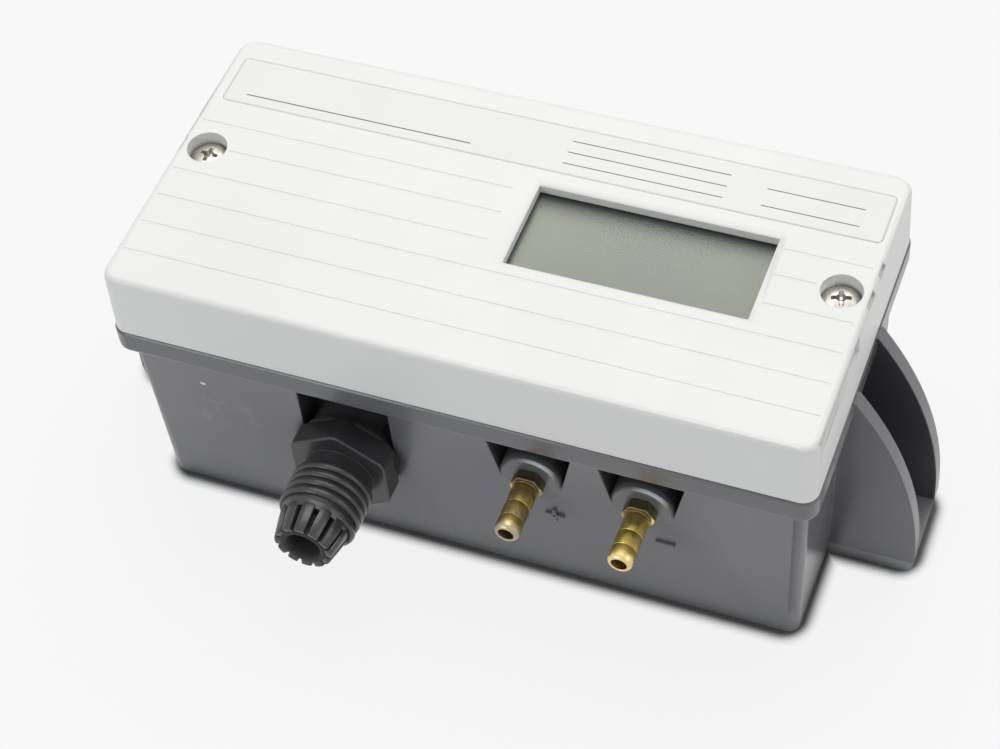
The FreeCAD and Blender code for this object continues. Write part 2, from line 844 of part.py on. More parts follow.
def gland_locknut():
    start = V(gland_x, boss_back(), gland_height)
    nut = hex_prism(locknut_hex, locknut_thickness, start, INWARD)
    return nut.cut(flat_prism(gland_tail_radius + fit_clearance, large_sides,
                              start - INWARD * overrun, INWARD,
                              locknut_thickness + 2 * overrun))


# ---------------------------------------------------------------- sensing capsule

def capsule_axis(y):
    return V((high_port_x + low_port_x) / 2, y, port_height)


def capsule_levels():
    front_half_end = capsule_front + capsule_half
    rear_half_start = front_half_end + diaphragm_thickness
    return front_half_end, rear_half_start, rear_half_start + capsule_half


def clamp_places():
    axis = capsule_axis(0)
    angles = [radians(360 / clamp_count * (n + 0.5)) for n in range(clamp_count)]
    return [(axis.x + clamp_ring * cos(a), axis.z + clamp_ring * sin(a)) for a in angles]


def clamp_holes(radius, start, end):
    return [small_hole(radius, V(x, start, z), INWARD, end - start)
            for x, z in clamp_places()]


def capsule_slab(start, length):
    return flat_prism(capsule_flat_radius, capsule_sides, capsule_axis(start), INWARD, length)


def crossover_x():
    return capsule_axis(0).x + crossover_ring


def sensor_body_front():
    end = capsule_levels()[0]
    body = capsule_slab(capsule_front, capsule_half)
    for x in (high_port_x, low_port_x):
        body = body.fuse(small_rod(barb_tail_radius, V(x, capsule_front - nipple_length,
                                   port_height), INWARD, nipple_length + overrun))
    low_depth = nipple_length + capsule_half / 2
    crossover_y = capsule_front + capsule_half / 2 - crossover_radius
    cuts = [flat_prism(chamber_radius, large_sides, capsule_axis(end - chamber_depth), INWARD,
                       2 * chamber_depth),
            small_hole(nipple_bore_radius, V(high_port_x, capsule_front - nipple_length
                       - overrun, port_height), INWARD, nipple_length + capsule_half
                       + overrun),
            small_hole(nipple_bore_radius, V(low_port_x, capsule_front - nipple_length
                       - overrun, port_height), INWARD, low_depth + overrun),
            small_hole(crossover_radius, V(low_port_x, crossover_y, port_height), V(1, 0, 0),
                       crossover_x() - low_port_x),
            small_hole(crossover_radius, V(crossover_x(), crossover_y, port_height), INWARD,
                       capsule_half)]
    cuts += clamp_holes(small_screw_radius, end - clamp_grip, end + overrun)
    for cut in cuts:
        body = body.cut(cut)
    return body


def sensor_diaphragm():
    start = capsule_levels()[0]
    disc = capsule_slab(start, diaphragm_thickness)
    cuts = clamp_holes(small_screw_radius, start - overrun, start + overrun)
    cuts.append(small_hole(crossover_radius, V(crossover_x(), start - overrun, port_height),
                           INWARD, 2 * overrun))
    for cut in cuts:
        disc = disc.cut(cut)
    return disc


def sensor_body_rear():
    start = capsule_levels()[1]
    end = capsule_levels()[2]
    body = capsule_slab(start, capsule_half)
    channel_y = start + electrode_chamber_depth - crossover_radius / 2
    cuts = [flat_prism(chamber_radius, large_sides, capsule_axis(start - overrun), INWARD,
                       electrode_chamber_depth + overrun),
            small_hole(insulator_radius + fit_clearance, capsule_axis(start), INWARD,
                       capsule_half + overrun),
            small_hole(crossover_radius, V(crossover_x(), start - overrun, port_height),
                       INWARD, electrode_chamber_depth + overrun),
            small_hole(crossover_radius / 2, V(crossover_x(), channel_y, port_height),
                       V(-1, 0, 0), crossover_ring - chamber_radius + overrun)]
    cuts += clamp_holes(small_screw_radius, start - overrun, end + overrun)
    for cut in cuts:
        body = body.cut(cut)
    return body


def sensor_electrode():
    start = capsule_levels()[1] + electrode_stand_off
    rear = capsule_levels()[2] + bracket_thickness + electrode_stem_length
    plate = prism(electrode_radius, large_sides, capsule_axis(start), INWARD,
                  electrode_thickness)
    stem = small_rod(electrode_stem_radius, capsule_axis(start), INWARD, rear - start)
    return plate.fuse(stem)


def electrode_insulator():
    start = capsule_levels()[1] + electrode_stand_off + electrode_thickness
    end = capsule_levels()[2]
    return small_tube(insulator_radius, electrode_stem_radius + fit_clearance,
                      capsule_axis(start), INWARD, end - start)


def sensor_bracket():
    # Bent sheet: an upright behind the capsule and a foot on the main board
    front = capsule_levels()[2]
    axis = capsule_axis(0)
    left = axis.x - bracket_half_width
    right = axis.x + bracket_half_width
    upright = box(left, right, front, front + bracket_thickness, board_top,
                  board_top + bracket_rise)
    foot = box(left, right, front, front + bracket_thickness + bracket_foot, board_top,
               board_top + bracket_thickness)
    bracket = upright.fuse(foot)
    cuts = [small_hole(2 * insulator_radius, capsule_axis(front - overrun), INWARD,
                       2 * overrun + bracket_thickness)]
    cuts += clamp_holes(small_screw_radius + loose_clearance, front - overrun,
                        front + bracket_thickness + overrun)
    for x, y in bracket_screw_places():
        cuts.append(small_hole(small_screw_radius + loose_clearance,
                               V(x, y, board_top - overrun), UP,
                               bracket_thickness + 2 * overrun))
    for cut in cuts:
        bracket = bracket.cut(cut)
    return bracket.removeSplitter()


def bracket_screw_places():
    axis = capsule_axis(0)
    y = capsule_levels()[2] + bracket_thickness + bracket_foot / 2
    offset = bracket_half_width - bracket_foot / 2
    return [(axis.x - offset, y), (axis.x + offset, y)]


def sensor_clamp_screws():
    seat = capsule_levels()[2] + bracket_thickness
    grip = seat - capsule_levels()[0] + clamp_grip - loose_clearance
    screws = []
    for x, z in clamp_places():
        head = small_rod(small_screw_head_radius, V(x, seat, z), INWARD,
                         small_screw_head_height)
        shank = small_rod(small_screw_radius - fit_clearance, V(x, seat - grip, z), INWARD,
                          grip)
        slot = box(x - small_screw_head_radius, x + small_screw_head_radius,
                   seat + small_screw_head_height / 2, seat + small_screw_head_height + overrun,
                   z - small_slot_width / 2, z + small_slot_width / 2)
        screws.append(head.fuse(shank).cut(slot))
    return screws


# ---------------------------------------------------------------- boards and display

def main_board():
    board = box(board_left, board_right, board_front, board_rear, board_underside, board_top)
    holes = [(x, y, small_screw_radius + loose_clearance) for x, y in board_holes()]
    holes += [(x, y, small_screw_radius + loose_clearance) for x, y in bracket_screw_places()]
    holes += [(x, terminal_leg_y(), rail_width / 2 + loose_clearance) for x in pole_places()]
    for x, y, radius in holes:
        board = board.cut(small_hole(radius, V(x, y, board_underside - overrun), UP,
                                     board_thickness + 2 * overrun))
    return board


def centred_box(centre_x, centre_y, length, depth, z_low, z_high):
    return box(centre_x - length / 2, centre_x + length / 2,
               centre_y - depth / 2, centre_y + depth / 2, z_low, z_high)


def at_window(length, depth, z_low, z_high):
    return centred_box(window_centre_x, window_centre_y, length, depth, z_low, z_high)


def window_pane():
    return at_window(window_length + 2 * pane_margin, window_depth + 2 * pane_margin,
                     pane_under, plate_under)


def lcd_glass():
    # Two bonded panes: the lower one stands out along both contact edges
    ledge = strip_width + strip_inset
    upper = at_window(lcd_length, lcd_depth - 2 * ledge, lcd_under + lcd_thickness / 2, lcd_top)
    lower = at_window(lcd_length, lcd_depth, lcd_under, lcd_under + lcd_thickness / 2)
    return upper.fuse(lower)


def display_bezel():
    outer = at_window(lcd_length + 2 * bezel_wall, lcd_depth + 2 * bezel_wall,
                      display_board_top, plate_under - fit_clearance)
    inner = at_window(lcd_length + 2 * fit_clearance, lcd_depth + 2 * fit_clearance,
                      display_board_top - overrun, lcd_top + fit_clearance)
    view = at_window(window_length + 2 * pane_margin + 2 * loose_clearance,
                     window_depth + 2 * pane_margin + 2 * loose_clearance,
                     lcd_top, cover_top)
    return outer.cut(inner).cut(view)


def contact_strips():
    offset = lcd_depth / 2 - strip_inset - strip_width / 2
    return [centred_box(window_centre_x, window_centre_y + side * offset,
                        lcd_length - 2 * strip_end, strip_width, display_board_top, lcd_under)
            for side in (-1, 1)]


def display_board():
    board = at_window(display_board_length, display_board_depth, display_board_under,
                      display_board_top)
    for x, y in display_boss_places():
        board = board.cut(small_hole(small_screw_radius + loose_clearance,
                                     V(x, y, display_board_under - overrun), UP,
                                     display_board_thickness + 2 * overrun))
    return board


def display_ribbon():
    # A bowed flat cable between the two plugs, with flat ends on their faces
    low = board_top + plug_height
    high = display_board_under - plug_height
    half = (high - low) / 2
    radius = (half ** 2 + ribbon_bow ** 2) / (2 * ribbon_bow)
    centre = V(plug_x - ribbon_width / 2, plug_y + ribbon_bow - radius, (low + high) / 2)
    bow = ring(radius + ribbon_thickness / 2, radius - ribbon_thickness / 2, centre,
               V(1, 0, 0), ribbon_width)
    return bow.common(box(centre.x, centre.x + ribbon_width, plug_y - plug_depth / 2,
                          plug_y + 2 * ribbon_bow, low, high))


# ---------------------------------------------------------------- terminal block

def pole_places():
    middle = (pole_count - 1) / 2
    return [terminal_x + (pole - middle) * pole_pitch for pole in range(pole_count)]


def terminal_levels():
    # Cage underside at rest, cage roof at full travel, top of the web under the heads
    cage_low = board_top + cage_lift
    cavity_top = cage_low + cage_height + clamp_travel + fit_clearance
    return cage_low, cavity_top, cavity_top + terminal_web


def rail_underside():
    return terminal_levels()[0] + cage_floor + rail_wire_gap


def terminal_leg_y():
    return terminal_screw_y + cage_depth / 2 + loose_clearance + rail_thickness


def terminal_block():
    cage_low, cavity_top, head_seat = terminal_levels()
    half = pole_pitch * pole_count / 2 + terminal_side_wall / 2
    block = box(terminal_x - half, terminal_x + half, terminal_front,
                terminal_front + terminal_depth, board_top, board_top + terminal_height)
    cage_half = cage_width / 2 + fit_clearance
    cage_front = terminal_screw_y - cage_depth / 2 - fit_clearance
    cage_back = terminal_screw_y + cage_depth / 2 + fit_clearance
    rail_low = rail_underside()
    for x in pole_places():
        rail_half = rail_width / 2 + fit_clearance
        cuts = [box(x - cage_half, x + cage_half, cage_front, cage_back,
                    cage_low - fit_clearance, cavity_top),
                small_hole(terminal_screw_radius + fit_clearance,
                           V(x, terminal_screw_y, cavity_top - overrun), UP,
                           terminal_web + 2 * overrun),
                small_hole(terminal_head_radius + loose_clearance,
                           V(x, terminal_screw_y, head_seat), UP, terminal_height),
                box(x - cage_width / 2 + cage_side, x + cage_width / 2 - cage_side,
                    terminal_front - overrun, cage_front + overrun, cage_low + cage_floor,
                    rail_low - loose_clearance),
                box(x - rail_half, x + rail_half, cage_front - rail_thickness,
                    terminal_leg_y() + rail_thickness / 2, rail_low - fit_clearance,
                    rail_low + rail_thickness + fit_clearance),
                box(x - rail_half, x + rail_half, terminal_leg_y() - rail_thickness / 2
                    - fit_clearance, terminal_leg_y() + rail_thickness / 2 + fit_clearance,
                    board_top - overrun, rail_low + rail_thickness + fit_clearance)]
        for cut in cuts:
            block = block.cut(cut)
    return block.removeSplitter()


def terminal_screw(x):
    head_seat = terminal_levels()[2]
    tip = rail_underside() + rail_thickness + fit_clearance
    shank = small_rod(terminal_screw_radius, V(x, terminal_screw_y, tip), UP,
                      head_seat + overrun / 2 - tip)
    head = rod(terminal_head_radius, V(x, terminal_screw_y, head_seat + fit_clearance), UP,
               terminal_head_height)
    slot = box(x - terminal_head_radius, x + terminal_head_radius,
               terminal_screw_y - recess_width / 2, terminal_screw_y + recess_width / 2,
               head_seat + terminal_head_height / 2, head_seat + 2 * terminal_head_height)
    return shank.fuse(head).cut(slot)


def terminal_clamp(x):
    cage_low = terminal_levels()[0]
    half = cage_width / 2
    front = terminal_screw_y - cage_depth / 2
    back = terminal_screw_y + cage_depth / 2
    cage = box(x - half, x + half, front, back, cage_low, cage_low + cage_height)
    wire_way = box(x - half + cage_side, x + half - cage_side, front - overrun, back + overrun,
                   cage_low + cage_floor, cage_low + cage_height - cage_roof)
    thread = small_hole(terminal_screw_radius + fit_clearance,
                        V(x, terminal_screw_y, cage_low + cage_height - cage_roof - overrun),
                        UP, cage_roof + 2 * overrun)
    return cage.cut(wire_way).cut(thread)


def terminal_pin(x):
    low = rail_underside()
    leg_y = terminal_leg_y()
    front = terminal_screw_y - cage_depth / 2 - rail_thickness
    rail = box(x - rail_width / 2, x + rail_width / 2, front, leg_y + rail_thickness / 2,
               low, low + rail_thickness)
    leg = box(x - rail_width / 4, x + rail_width / 4, leg_y - rail_thickness / 2,
              leg_y + rail_thickness / 2, board_underside - pin_reach, low)
    return rail.fuse(leg)


# ---------------------------------------------------------------- small board parts

def trimmer_body(x):
    body = centred_box(x, trimmer_y, trimmer_side, trimmer_side, board_top,
                       board_top + trimmer_height)
    well = rod(rotor_radius + fit_clearance, V(x, trimmer_y, board_top + rotor_floor), UP,
               trimmer_height)
    return body.cut(well)


def trimmer_rotor(x):
    low = board_top + rotor_floor + fit_clearance
    high = board_top + trimmer_height + rotor_proud
    rotor = rod(rotor_radius, V(x, trimmer_y, low), UP, high - low)
    slot = centred_box(x, trimmer_y, 2 * rotor_radius + overrun, rotor_slot_width,
                       high - rotor_slot_depth, high + overrun)
    return rotor.cut(slot)


def controller_chip():
    low = board_top + chip_lift
    body = centred_box(chip_x, chip_y, chip_side, chip_side, low, low + chip_height)
    leads = []
    for lead in range(lead_count):
        shift = (lead - (lead_count - 1) / 2) * lead_pitch
        leads.append(centred_box(chip_x + shift, chip_y, lead_width,
                                 chip_side + 2 * lead_reach, board_top, low + chip_height / 3))
    return fused([body] + leads)


def capacitor(x, y):
    # y is measured from the front edge of the board
    return prism(capacitor_radius, large_sides, V(x, board_front + y, board_top), UP,
                 capacitor_height)


# ---------------------------------------------------------------- all nodes

def build():
    os.makedirs("parts", exist_ok=True)
    insert_low = base_height - insert_sink - insert_length
    save("base_housing", [base_housing()])
    save("front_cover", [front_cover()])
    save("cover_gasket", [gasket_ring(groove_width - 2 * fit_clearance,
                                      base_height - groove_depth,
                                      base_height - tongue_height)])
    save("cover_screws", [cover_screw(x) for x in (-screw_place_x, screw_place_x)])
    save("threaded_inserts", [small_tube(insert_radius, screw_shank_radius + fit_clearance,
                                         V(x, screw_place_y, insert_low), UP, insert_length)
                              for x in (-screw_place_x, screw_place_x)])
    save("label_film", [label_block(0, cover_top - label_seat_depth,
                                    cover_top - label_seat_depth + label_thickness)])
    save("window_pane", [window_pane()])
    save("lcd_glass", [lcd_glass()])
    save("display_bezel", [display_bezel()])
    save("contact_strips", contact_strips())
    save("display_board", [display_board()])
    save("display_screws", [small_screw(x, y, display_board_under, small_screw_grip, DOWN)
                            for x, y in display_boss_places()])
    save("display_plug", [centred_box(plug_x, plug_y, plug_length, plug_depth,
                                      display_board_under - plug_height, display_board_under)])
    save("display_ribbon", [display_ribbon()])
    save("board_plug", [centred_box(plug_x, plug_y, plug_length, plug_depth, board_top,
                                    board_top + plug_height)])
    save("gland_body", [gland_body()])
    save("gland_seal", [gland_seal()])
    save("gland_washer", [gland_washer()])
    save("gland_locknut", [gland_locknut()])
    save("high_port_barb", [barb(high_port_x)])
    save("low_port_barb", [barb(low_port_x)])
    save("high_port_hose", [hose(high_port_x)])
    save("low_port_hose", [hose(low_port_x)])
    save("sensor_body_front", [sensor_body_front()])
    save("sensor_diaphragm", [sensor_diaphragm()])
    save("sensor_body_rear", [sensor_body_rear()])
    save("sensor_electrode", [sensor_electrode()])
    save("electrode_insulator", [electrode_insulator()])
    save("sensor_bracket", [sensor_bracket()])
    save("sensor_clamp_screws", sensor_clamp_screws())
    save("bracket_screws", [small_screw(x, y, board_top + bracket_thickness,
                                        small_screw_grip, UP)
                            for x, y in bracket_screw_places()])
    save("main_board", [main_board()])
    save("board_screws", [small_screw(x, y, board_top, small_screw_grip, UP)
                          for x, y in board_holes()])
    save("terminal_block", [terminal_block()])
    for pole, x in enumerate(pole_places(), start=1):
        save("terminal_screw_" + str(pole), [terminal_screw(x)])
        save("terminal_clamp_" + str(pole), [terminal_clamp(x)])
    save("terminal_pins", [terminal_pin(x) for x in pole_places()])
    save("zero_trimmer_body", [trimmer_body(zero_trimmer_x)])
    save("zero_trimmer_rotor", [trimmer_rotor(zero_trimmer_x)])
    save("span_trimmer_body", [trimmer_body(span_trimmer_x)])
    save("span_trimmer_rotor", [trimmer_rotor(span_trimmer_x)])
    save("controller_chip", [controller_chip()])
    save("board_capacitors", [capacitor(x, y) for x, y in capacitor_places])


build()
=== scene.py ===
import json
import math

import bpy
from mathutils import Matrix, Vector

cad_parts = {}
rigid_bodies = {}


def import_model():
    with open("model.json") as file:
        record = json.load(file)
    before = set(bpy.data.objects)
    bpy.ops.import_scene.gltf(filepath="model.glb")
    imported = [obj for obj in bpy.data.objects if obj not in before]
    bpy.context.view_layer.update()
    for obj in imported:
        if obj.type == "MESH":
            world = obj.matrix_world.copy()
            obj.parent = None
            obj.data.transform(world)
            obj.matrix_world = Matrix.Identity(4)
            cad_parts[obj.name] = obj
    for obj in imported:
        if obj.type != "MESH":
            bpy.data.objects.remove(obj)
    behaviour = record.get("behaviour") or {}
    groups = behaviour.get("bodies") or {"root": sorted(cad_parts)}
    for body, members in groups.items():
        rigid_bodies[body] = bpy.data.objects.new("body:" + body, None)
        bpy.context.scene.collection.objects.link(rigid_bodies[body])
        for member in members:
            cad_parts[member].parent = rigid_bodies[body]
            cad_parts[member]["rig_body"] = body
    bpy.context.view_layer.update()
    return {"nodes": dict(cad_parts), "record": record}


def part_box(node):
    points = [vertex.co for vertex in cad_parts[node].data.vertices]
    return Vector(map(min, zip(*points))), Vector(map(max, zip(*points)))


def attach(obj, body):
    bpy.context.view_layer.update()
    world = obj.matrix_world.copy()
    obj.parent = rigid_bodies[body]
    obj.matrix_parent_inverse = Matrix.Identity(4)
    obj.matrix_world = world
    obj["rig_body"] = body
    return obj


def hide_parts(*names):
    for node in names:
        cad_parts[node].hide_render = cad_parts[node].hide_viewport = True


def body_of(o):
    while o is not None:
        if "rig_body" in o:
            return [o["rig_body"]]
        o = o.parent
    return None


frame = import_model()
nodes = frame["nodes"]
mm = 0.001
nearly = 1e-6
print("frame loaded:", len(nodes), "nodes")


viewValues = {
    "cameraPlace": (0.130185, -0.284017, 0.403616),
    "cameraTurn": (38.9696, 4.6018, 20.9512),
    "lens": 87.947,
    "shift": (0.03254, 0.00322),
}


def clearSelection():
    if bpy.context.mode != "OBJECT":
        bpy.ops.object.mode_set(mode="OBJECT")
    bpy.ops.object.select_all(action="DESELECT")


def placeCamera():
    bpy.ops.object.camera_add(location=viewValues["cameraPlace"])
    camera = bpy.context.object
    camera.name = "studioCamera"
    camera.rotation_euler = [math.radians(a) for a in viewValues["cameraTurn"]]
    camera.data.sensor_width = 36
    camera.data.lens = viewValues["lens"]
    camera.data.shift_x, camera.data.shift_y = viewValues["shift"]
    camera.data.clip_start = 0.01
    camera.data.clip_end = 20
    bpy.context.scene.camera = camera


lightValues = {
    "worldColour": (0.93, 0.95, 1.0),
    "worldStrength": 0.34,
    "backdropColour": (0.945, 0.947, 0.948),
    "lamps": [
        {"name": "overheadBox", "place": (-0.05, 0.30, 0.75), "aim": (0.0, 0.0, 0.04),
         "size": 0.75, "power": 5.0, "colour": (1.0, 0.985, 0.96)},
        {"name": "frontFill", "place": (-0.35, -0.75, 0.45), "aim": (0.0, 0.0, 0.03),
         "size": 0.28, "power": 1.45, "colour": (0.95, 0.97, 1.0)},
        {"name": "rightFill", "place": (0.75, -0.10, 0.40), "aim": (0.0, 0.0, 0.03),
         "size": 0.5, "power": 0.9, "colour": (1.0, 0.99, 0.97)},
    ],
}


def placeLamps():
    for lamp in lightValues["lamps"]:
        bpy.ops.object.light_add(type="AREA", location=lamp["place"])
        light = bpy.context.object
        light.name = lamp["name"]
        light.data.size = lamp["size"]
        light.data.energy = lamp["power"]
        light.data.color = lamp["colour"]
        away = Vector(lamp["place"]) - Vector(lamp["aim"])
        light.rotation_euler = away.to_track_quat("Z", "Y").to_euler()


def feed(tree, socket, value):
    # a number or a colour is set on the socket, another socket is linked to it
    if isinstance(value, (int, float)):
        socket.default_value = value
    elif isinstance(value, tuple):
        socket.default_value = (*value, 1)
    else:
        tree.links.new(value, socket)


def addMath(tree, operation, first, second=None, clamp=False):
    node = tree.nodes.new("ShaderNodeMath")
    node.operation = operation
    node.use_clamp = clamp
    feed(tree, node.inputs[0], first)
    if second is not None:
        feed(tree, node.inputs[1], second)
    return node.outputs[0]


def allOf(tree, *masks):
    product = masks[0]
    for mask in masks[1:]:
        product = addMath(tree, "MULTIPLY", product, mask)
    return product


def awayFrom(tree, value, centre=0.0):
    return addMath(tree, "ABSOLUTE", addMath(tree, "SUBTRACT", value, centre))


def mapRange(tree, value, low, high, soft=False, span=(0.0, 1.0)):
    node = tree.nodes.new("ShaderNodeMapRange")
    node.interpolation_type = "SMOOTHSTEP" if soft else "LINEAR"
    for label, number in zip(("From Min", "From Max", "To Min", "To Max"), (*span, low, high)):
        node.inputs[label].default_value = number
    tree.links.new(value, node.inputs["Value"])
    return node.outputs["Result"]


def mixColour(tree, mask, first, second, blend="MIX"):
    node = tree.nodes.new("ShaderNodeMix")
    node.data_type = "RGBA"
    node.blend_type = blend
    for label, value in (("Factor", mask), ("A", first), ("B", second)):
        feed(tree, node.inputs[label], value)
    return node.outputs["Result"]


def addNoise(tree, point, scale, detail=2):
    node = tree.nodes.new("ShaderNodeTexNoise")
    node.inputs["Detail"].default_value = detail
    tree.links.new(point, node.inputs["Vector"])
    feed(tree, node.inputs["Scale"], scale)
    return node.outputs["Fac"]


def objectPoint(tree):
    return tree.nodes.new("ShaderNodeTexCoord").outputs["Object"]


def objectPlace(tree):
    split = tree.nodes.new("ShaderNodeSeparateXYZ")
    tree.links.new(objectPoint(tree), split.inputs[0])
    return split.outputs


def newMaterial(name):
    material = bpy.data.materials.new(name)
    material.use_nodes = True
    tree = material.node_tree
    return material, tree, tree.nodes["Principled BSDF"]


def mixSeen(tree, plain, shown, mask):
    mix = tree.nodes.new("ShaderNodeMixShader")
    tree.links.new(mask, mix.inputs[0])
    tree.links.new(plain.outputs[0], mix.inputs[1])
    tree.links.new(shown.outputs[0], mix.inputs[2])
    return mix.outputs[0]


def seenDirectly(tree):
    # one where the camera, a reflection or a clear piece looks at this surface
    path = tree.nodes.new("ShaderNodeLightPath")
    first = addMath(tree, "MAXIMUM", path.outputs["Is Camera Ray"], path.outputs["Is Glossy Ray"])
    return addMath(tree, "MAXIMUM", first, path.outputs["Is Transmission Ray"])


def makeWorld():
    world = bpy.data.worlds.new("studioWorld")
    bpy.context.scene.world = world
    world.use_nodes = True
    tree = world.node_tree
    tree.nodes.clear()
    lit = tree.nodes.new("ShaderNodeBackground")
    lit.inputs["Color"].default_value = (*lightValues["worldColour"], 1)
    lit.inputs["Strength"].default_value = lightValues["worldStrength"]
    seen = tree.nodes.new("ShaderNodeBackground")
    seen.inputs["Color"].default_value = (*lightValues["backdropColour"], 1)
    seen.inputs["Strength"].default_value = 1.0
    out = tree.nodes.new("ShaderNodeOutputWorld")
    tree.links.new(mixSeen(tree, lit, seen, seenDirectly(tree)), out.inputs["Surface"])


floorValues = {
    "size": 6.0, "colour": (0.86, 0.86, 0.865), "roughness": 0.7, "cloudScale": 9, "cloudLow": 0.985,
    "nearRadius": 0.10, "farRadius": 0.50, "nearGlow": 0.90,
    # half the length and depth of what stands on the floor: the housing, then its tabs
    "footprints": ((0.0672, 0.0310), (0.0845, 0.0098)), "footRound": 0.004,
    "footLine": (0.0002, 0.0024), "footShade": 0.14, "contactGlow": 0.0, "contactReach": 0.0034,
}


def distanceFromFoot(tree, place):
    # how far a point of the floor lies from the nearest footprint
    inset = floorValues["footRound"]
    gaps = []
    for reach in floorValues["footprints"]:
        squares = []
        for axis, half in zip("XY", reach):
            side = addMath(tree, "SUBTRACT", addMath(tree, "ABSOLUTE", place[axis]), half - inset)
            side = addMath(tree, "MAXIMUM", side, 0.0)
            squares.append(addMath(tree, "MULTIPLY", side, side))
        cornered = addMath(tree, "SQRT", addMath(tree, "ADD", *squares))
        gaps.append(addMath(tree, "SUBTRACT", cornered, inset))
    return addMath(tree, "MINIMUM", *gaps)


def makeFloor():
    v = floorValues
    clearSelection()
    bpy.ops.mesh.primitive_plane_add(size=v["size"], location=(0, 0, 0))
    floor = bpy.context.object
    floor.name = "studioFloor"
    material, tree, shader = newMaterial("floorPaper")
    shader.inputs["Roughness"].default_value = v["roughness"]
    point = objectPoint(tree)
    cloud = mapRange(tree, addNoise(tree, point, v["cloudScale"]), v["cloudLow"], 1.0)
    paper = mixColour(tree, 1.0, v["colour"], cloud, "MULTIPLY")
    # painted contact shadow: close to the foot of the housing and of its tabs the floor colour is darkened
    gap = distanceFromFoot(tree, objectPlace(tree))
    foot = mapRange(tree, gap, v["footShade"], 1.0, soft=True, span=v["footLine"])
    tree.links.new(mixColour(tree, 1.0, paper, foot, "MULTIPLY"), shader.inputs["Base Color"])
    # far from the object the floor melts into the backdrop
    length = tree.nodes.new("ShaderNodeVectorMath")
    length.operation = "LENGTH"
    tree.links.new(point, length.inputs[0])
    fade = mapRange(tree, length.outputs["Value"], v["nearGlow"], 1.0, soft=True,
                    span=(v["nearRadius"], v["farRadius"]))
    # near the foot the backdrop glow gives way, so the painted contact shadow shows
    clearing = mapRange(tree, gap, v["contactGlow"], 1.0, soft=True,
                        span=(v["footLine"][0], v["contactReach"]))
    backdrop = tree.nodes.new("ShaderNodeEmission")
    backdrop.inputs["Color"].default_value = (*lightValues["backdropColour"], 1)
    mixed = mixSeen(tree, shader, backdrop, allOf(tree, fade, clearing, seenDirectly(tree)))
    tree.links.new(mixed, tree.nodes["Material Output"].inputs["Surface"])
    floor.data.materials.append(material)


bpy.context.scene.view_settings.view_transform = "Standard"
placeCamera()
placeLamps()
makeWorld()
makeFloor()
print("studio ready")


def newGroup(name, inputs, outputs):
    group = bpy.data.node_groups.new(name, "ShaderNodeTree")
    for label, kind, value in inputs:
        socket = group.interface.new_socket(label, in_out="INPUT", socket_type=kind)
        socket.default_value = value
    for label, kind in outputs:
        group.interface.new_socket(label, in_out="OUTPUT", socket_type=kind)
    return group, group.nodes.new("NodeGroupInput"), group.nodes.new("NodeGroupOutput")


def makeGrainGroup():
    # fine moulded texture, and a slow cloudy variation of tone
    group, inside, outside = newGroup(
        "mouldGrain",
        [("Scale", "NodeSocketFloat", 2500.0), ("Cloud Scale", "NodeSocketFloat", 40.0)],
        [("Height", "NodeSocketFloat"), ("Cloud", "NodeSocketFloat")],
    )
    point = objectPoint(group)
    group.links.new(addNoise(group, point, inside.outputs["Scale"], 3), outside.inputs["Height"])
    group.links.new(addNoise(group, point, inside.outputs["Cloud Scale"], 4), outside.inputs["Cloud"])
    return group


def makeEdgeGroup():
    # a soft edge's normal, and a mask of where edges are rubbed
    group, inside, outside = newGroup(
        "edgeWear",
        [("Radius", "NodeSocketFloat", 0.0003), ("Patch Scale", "NodeSocketFloat", 300.0),
         ("Gain", "NodeSocketFloat", 3.0)],
        [("Normal", "NodeSocketVector"), ("Mask", "NodeSocketFloat")],
    )
    bevel = group.nodes.new("ShaderNodeBevel")
    bevel.samples = 4
    group.links.new(inside.outputs["Radius"], bevel.inputs["Radius"])
    geometry = group.nodes.new("ShaderNodeNewGeometry")
    dot = group.nodes.new("ShaderNodeVectorMath")
    dot.operation = "DOT_PRODUCT"
    group.links.new(bevel.outputs["Normal"], dot.inputs[0])
    group.links.new(geometry.outputs["Normal"], dot.inputs[1])
    bend = addMath(group, "SUBTRACT", 1.0, dot.outputs["Value"])
    patches = addNoise(group, objectPoint(group), inside.outputs["Patch Scale"], 4)
    worn = addMath(group, "MULTIPLY", bend, patches)
    strong = addMath(group, "MULTIPLY", worn, inside.outputs["Gain"], clamp=True)
    group.links.new(bevel.outputs["Normal"], outside.inputs["Normal"])
    group.links.new(strong, outside.inputs["Mask"])
    return group


def makeDustGroup():
    # thin dust on faces that look up, with a few specks
    veilScale, leastUpward, speckSpan = 55, 0.15, (0.10, 0.04)
    group, inside, outside = newGroup(
        "dustVeil",
        [("Amount", "NodeSocketFloat", 0.2), ("Speck Scale", "NodeSocketFloat", 900.0)],
        [("Mask", "NodeSocketFloat")],
    )
    geometry = group.nodes.new("ShaderNodeNewGeometry")
    split = group.nodes.new("ShaderNodeSeparateXYZ")
    group.links.new(geometry.outputs["Normal"], split.inputs[0])
    upward = addMath(group, "MAXIMUM", split.outputs["Z"], leastUpward)
    point = objectPoint(group)
    veil = addNoise(group, point, veilScale, 6)
    specks = group.nodes.new("ShaderNodeTexVoronoi")
    specks.feature = "F1"
    group.links.new(point, specks.inputs["Vector"])
    group.links.new(inside.outputs["Speck Scale"], specks.inputs["Scale"])
    spot = mapRange(group, specks.outputs["Distance"], 0.0, 1.0, span=speckSpan)
    facing = addMath(group, "MULTIPLY", addMath(group, "MAXIMUM", veil, spot), upward)
    shown = addMath(group, "MULTIPLY", facing, inside.outputs["Amount"], clamp=True)
    group.links.new(shown, outside.inputs["Mask"])
    return group


groups = {"grain": makeGrainGroup(), "edge": makeEdgeGroup(), "dust": makeDustGroup()}


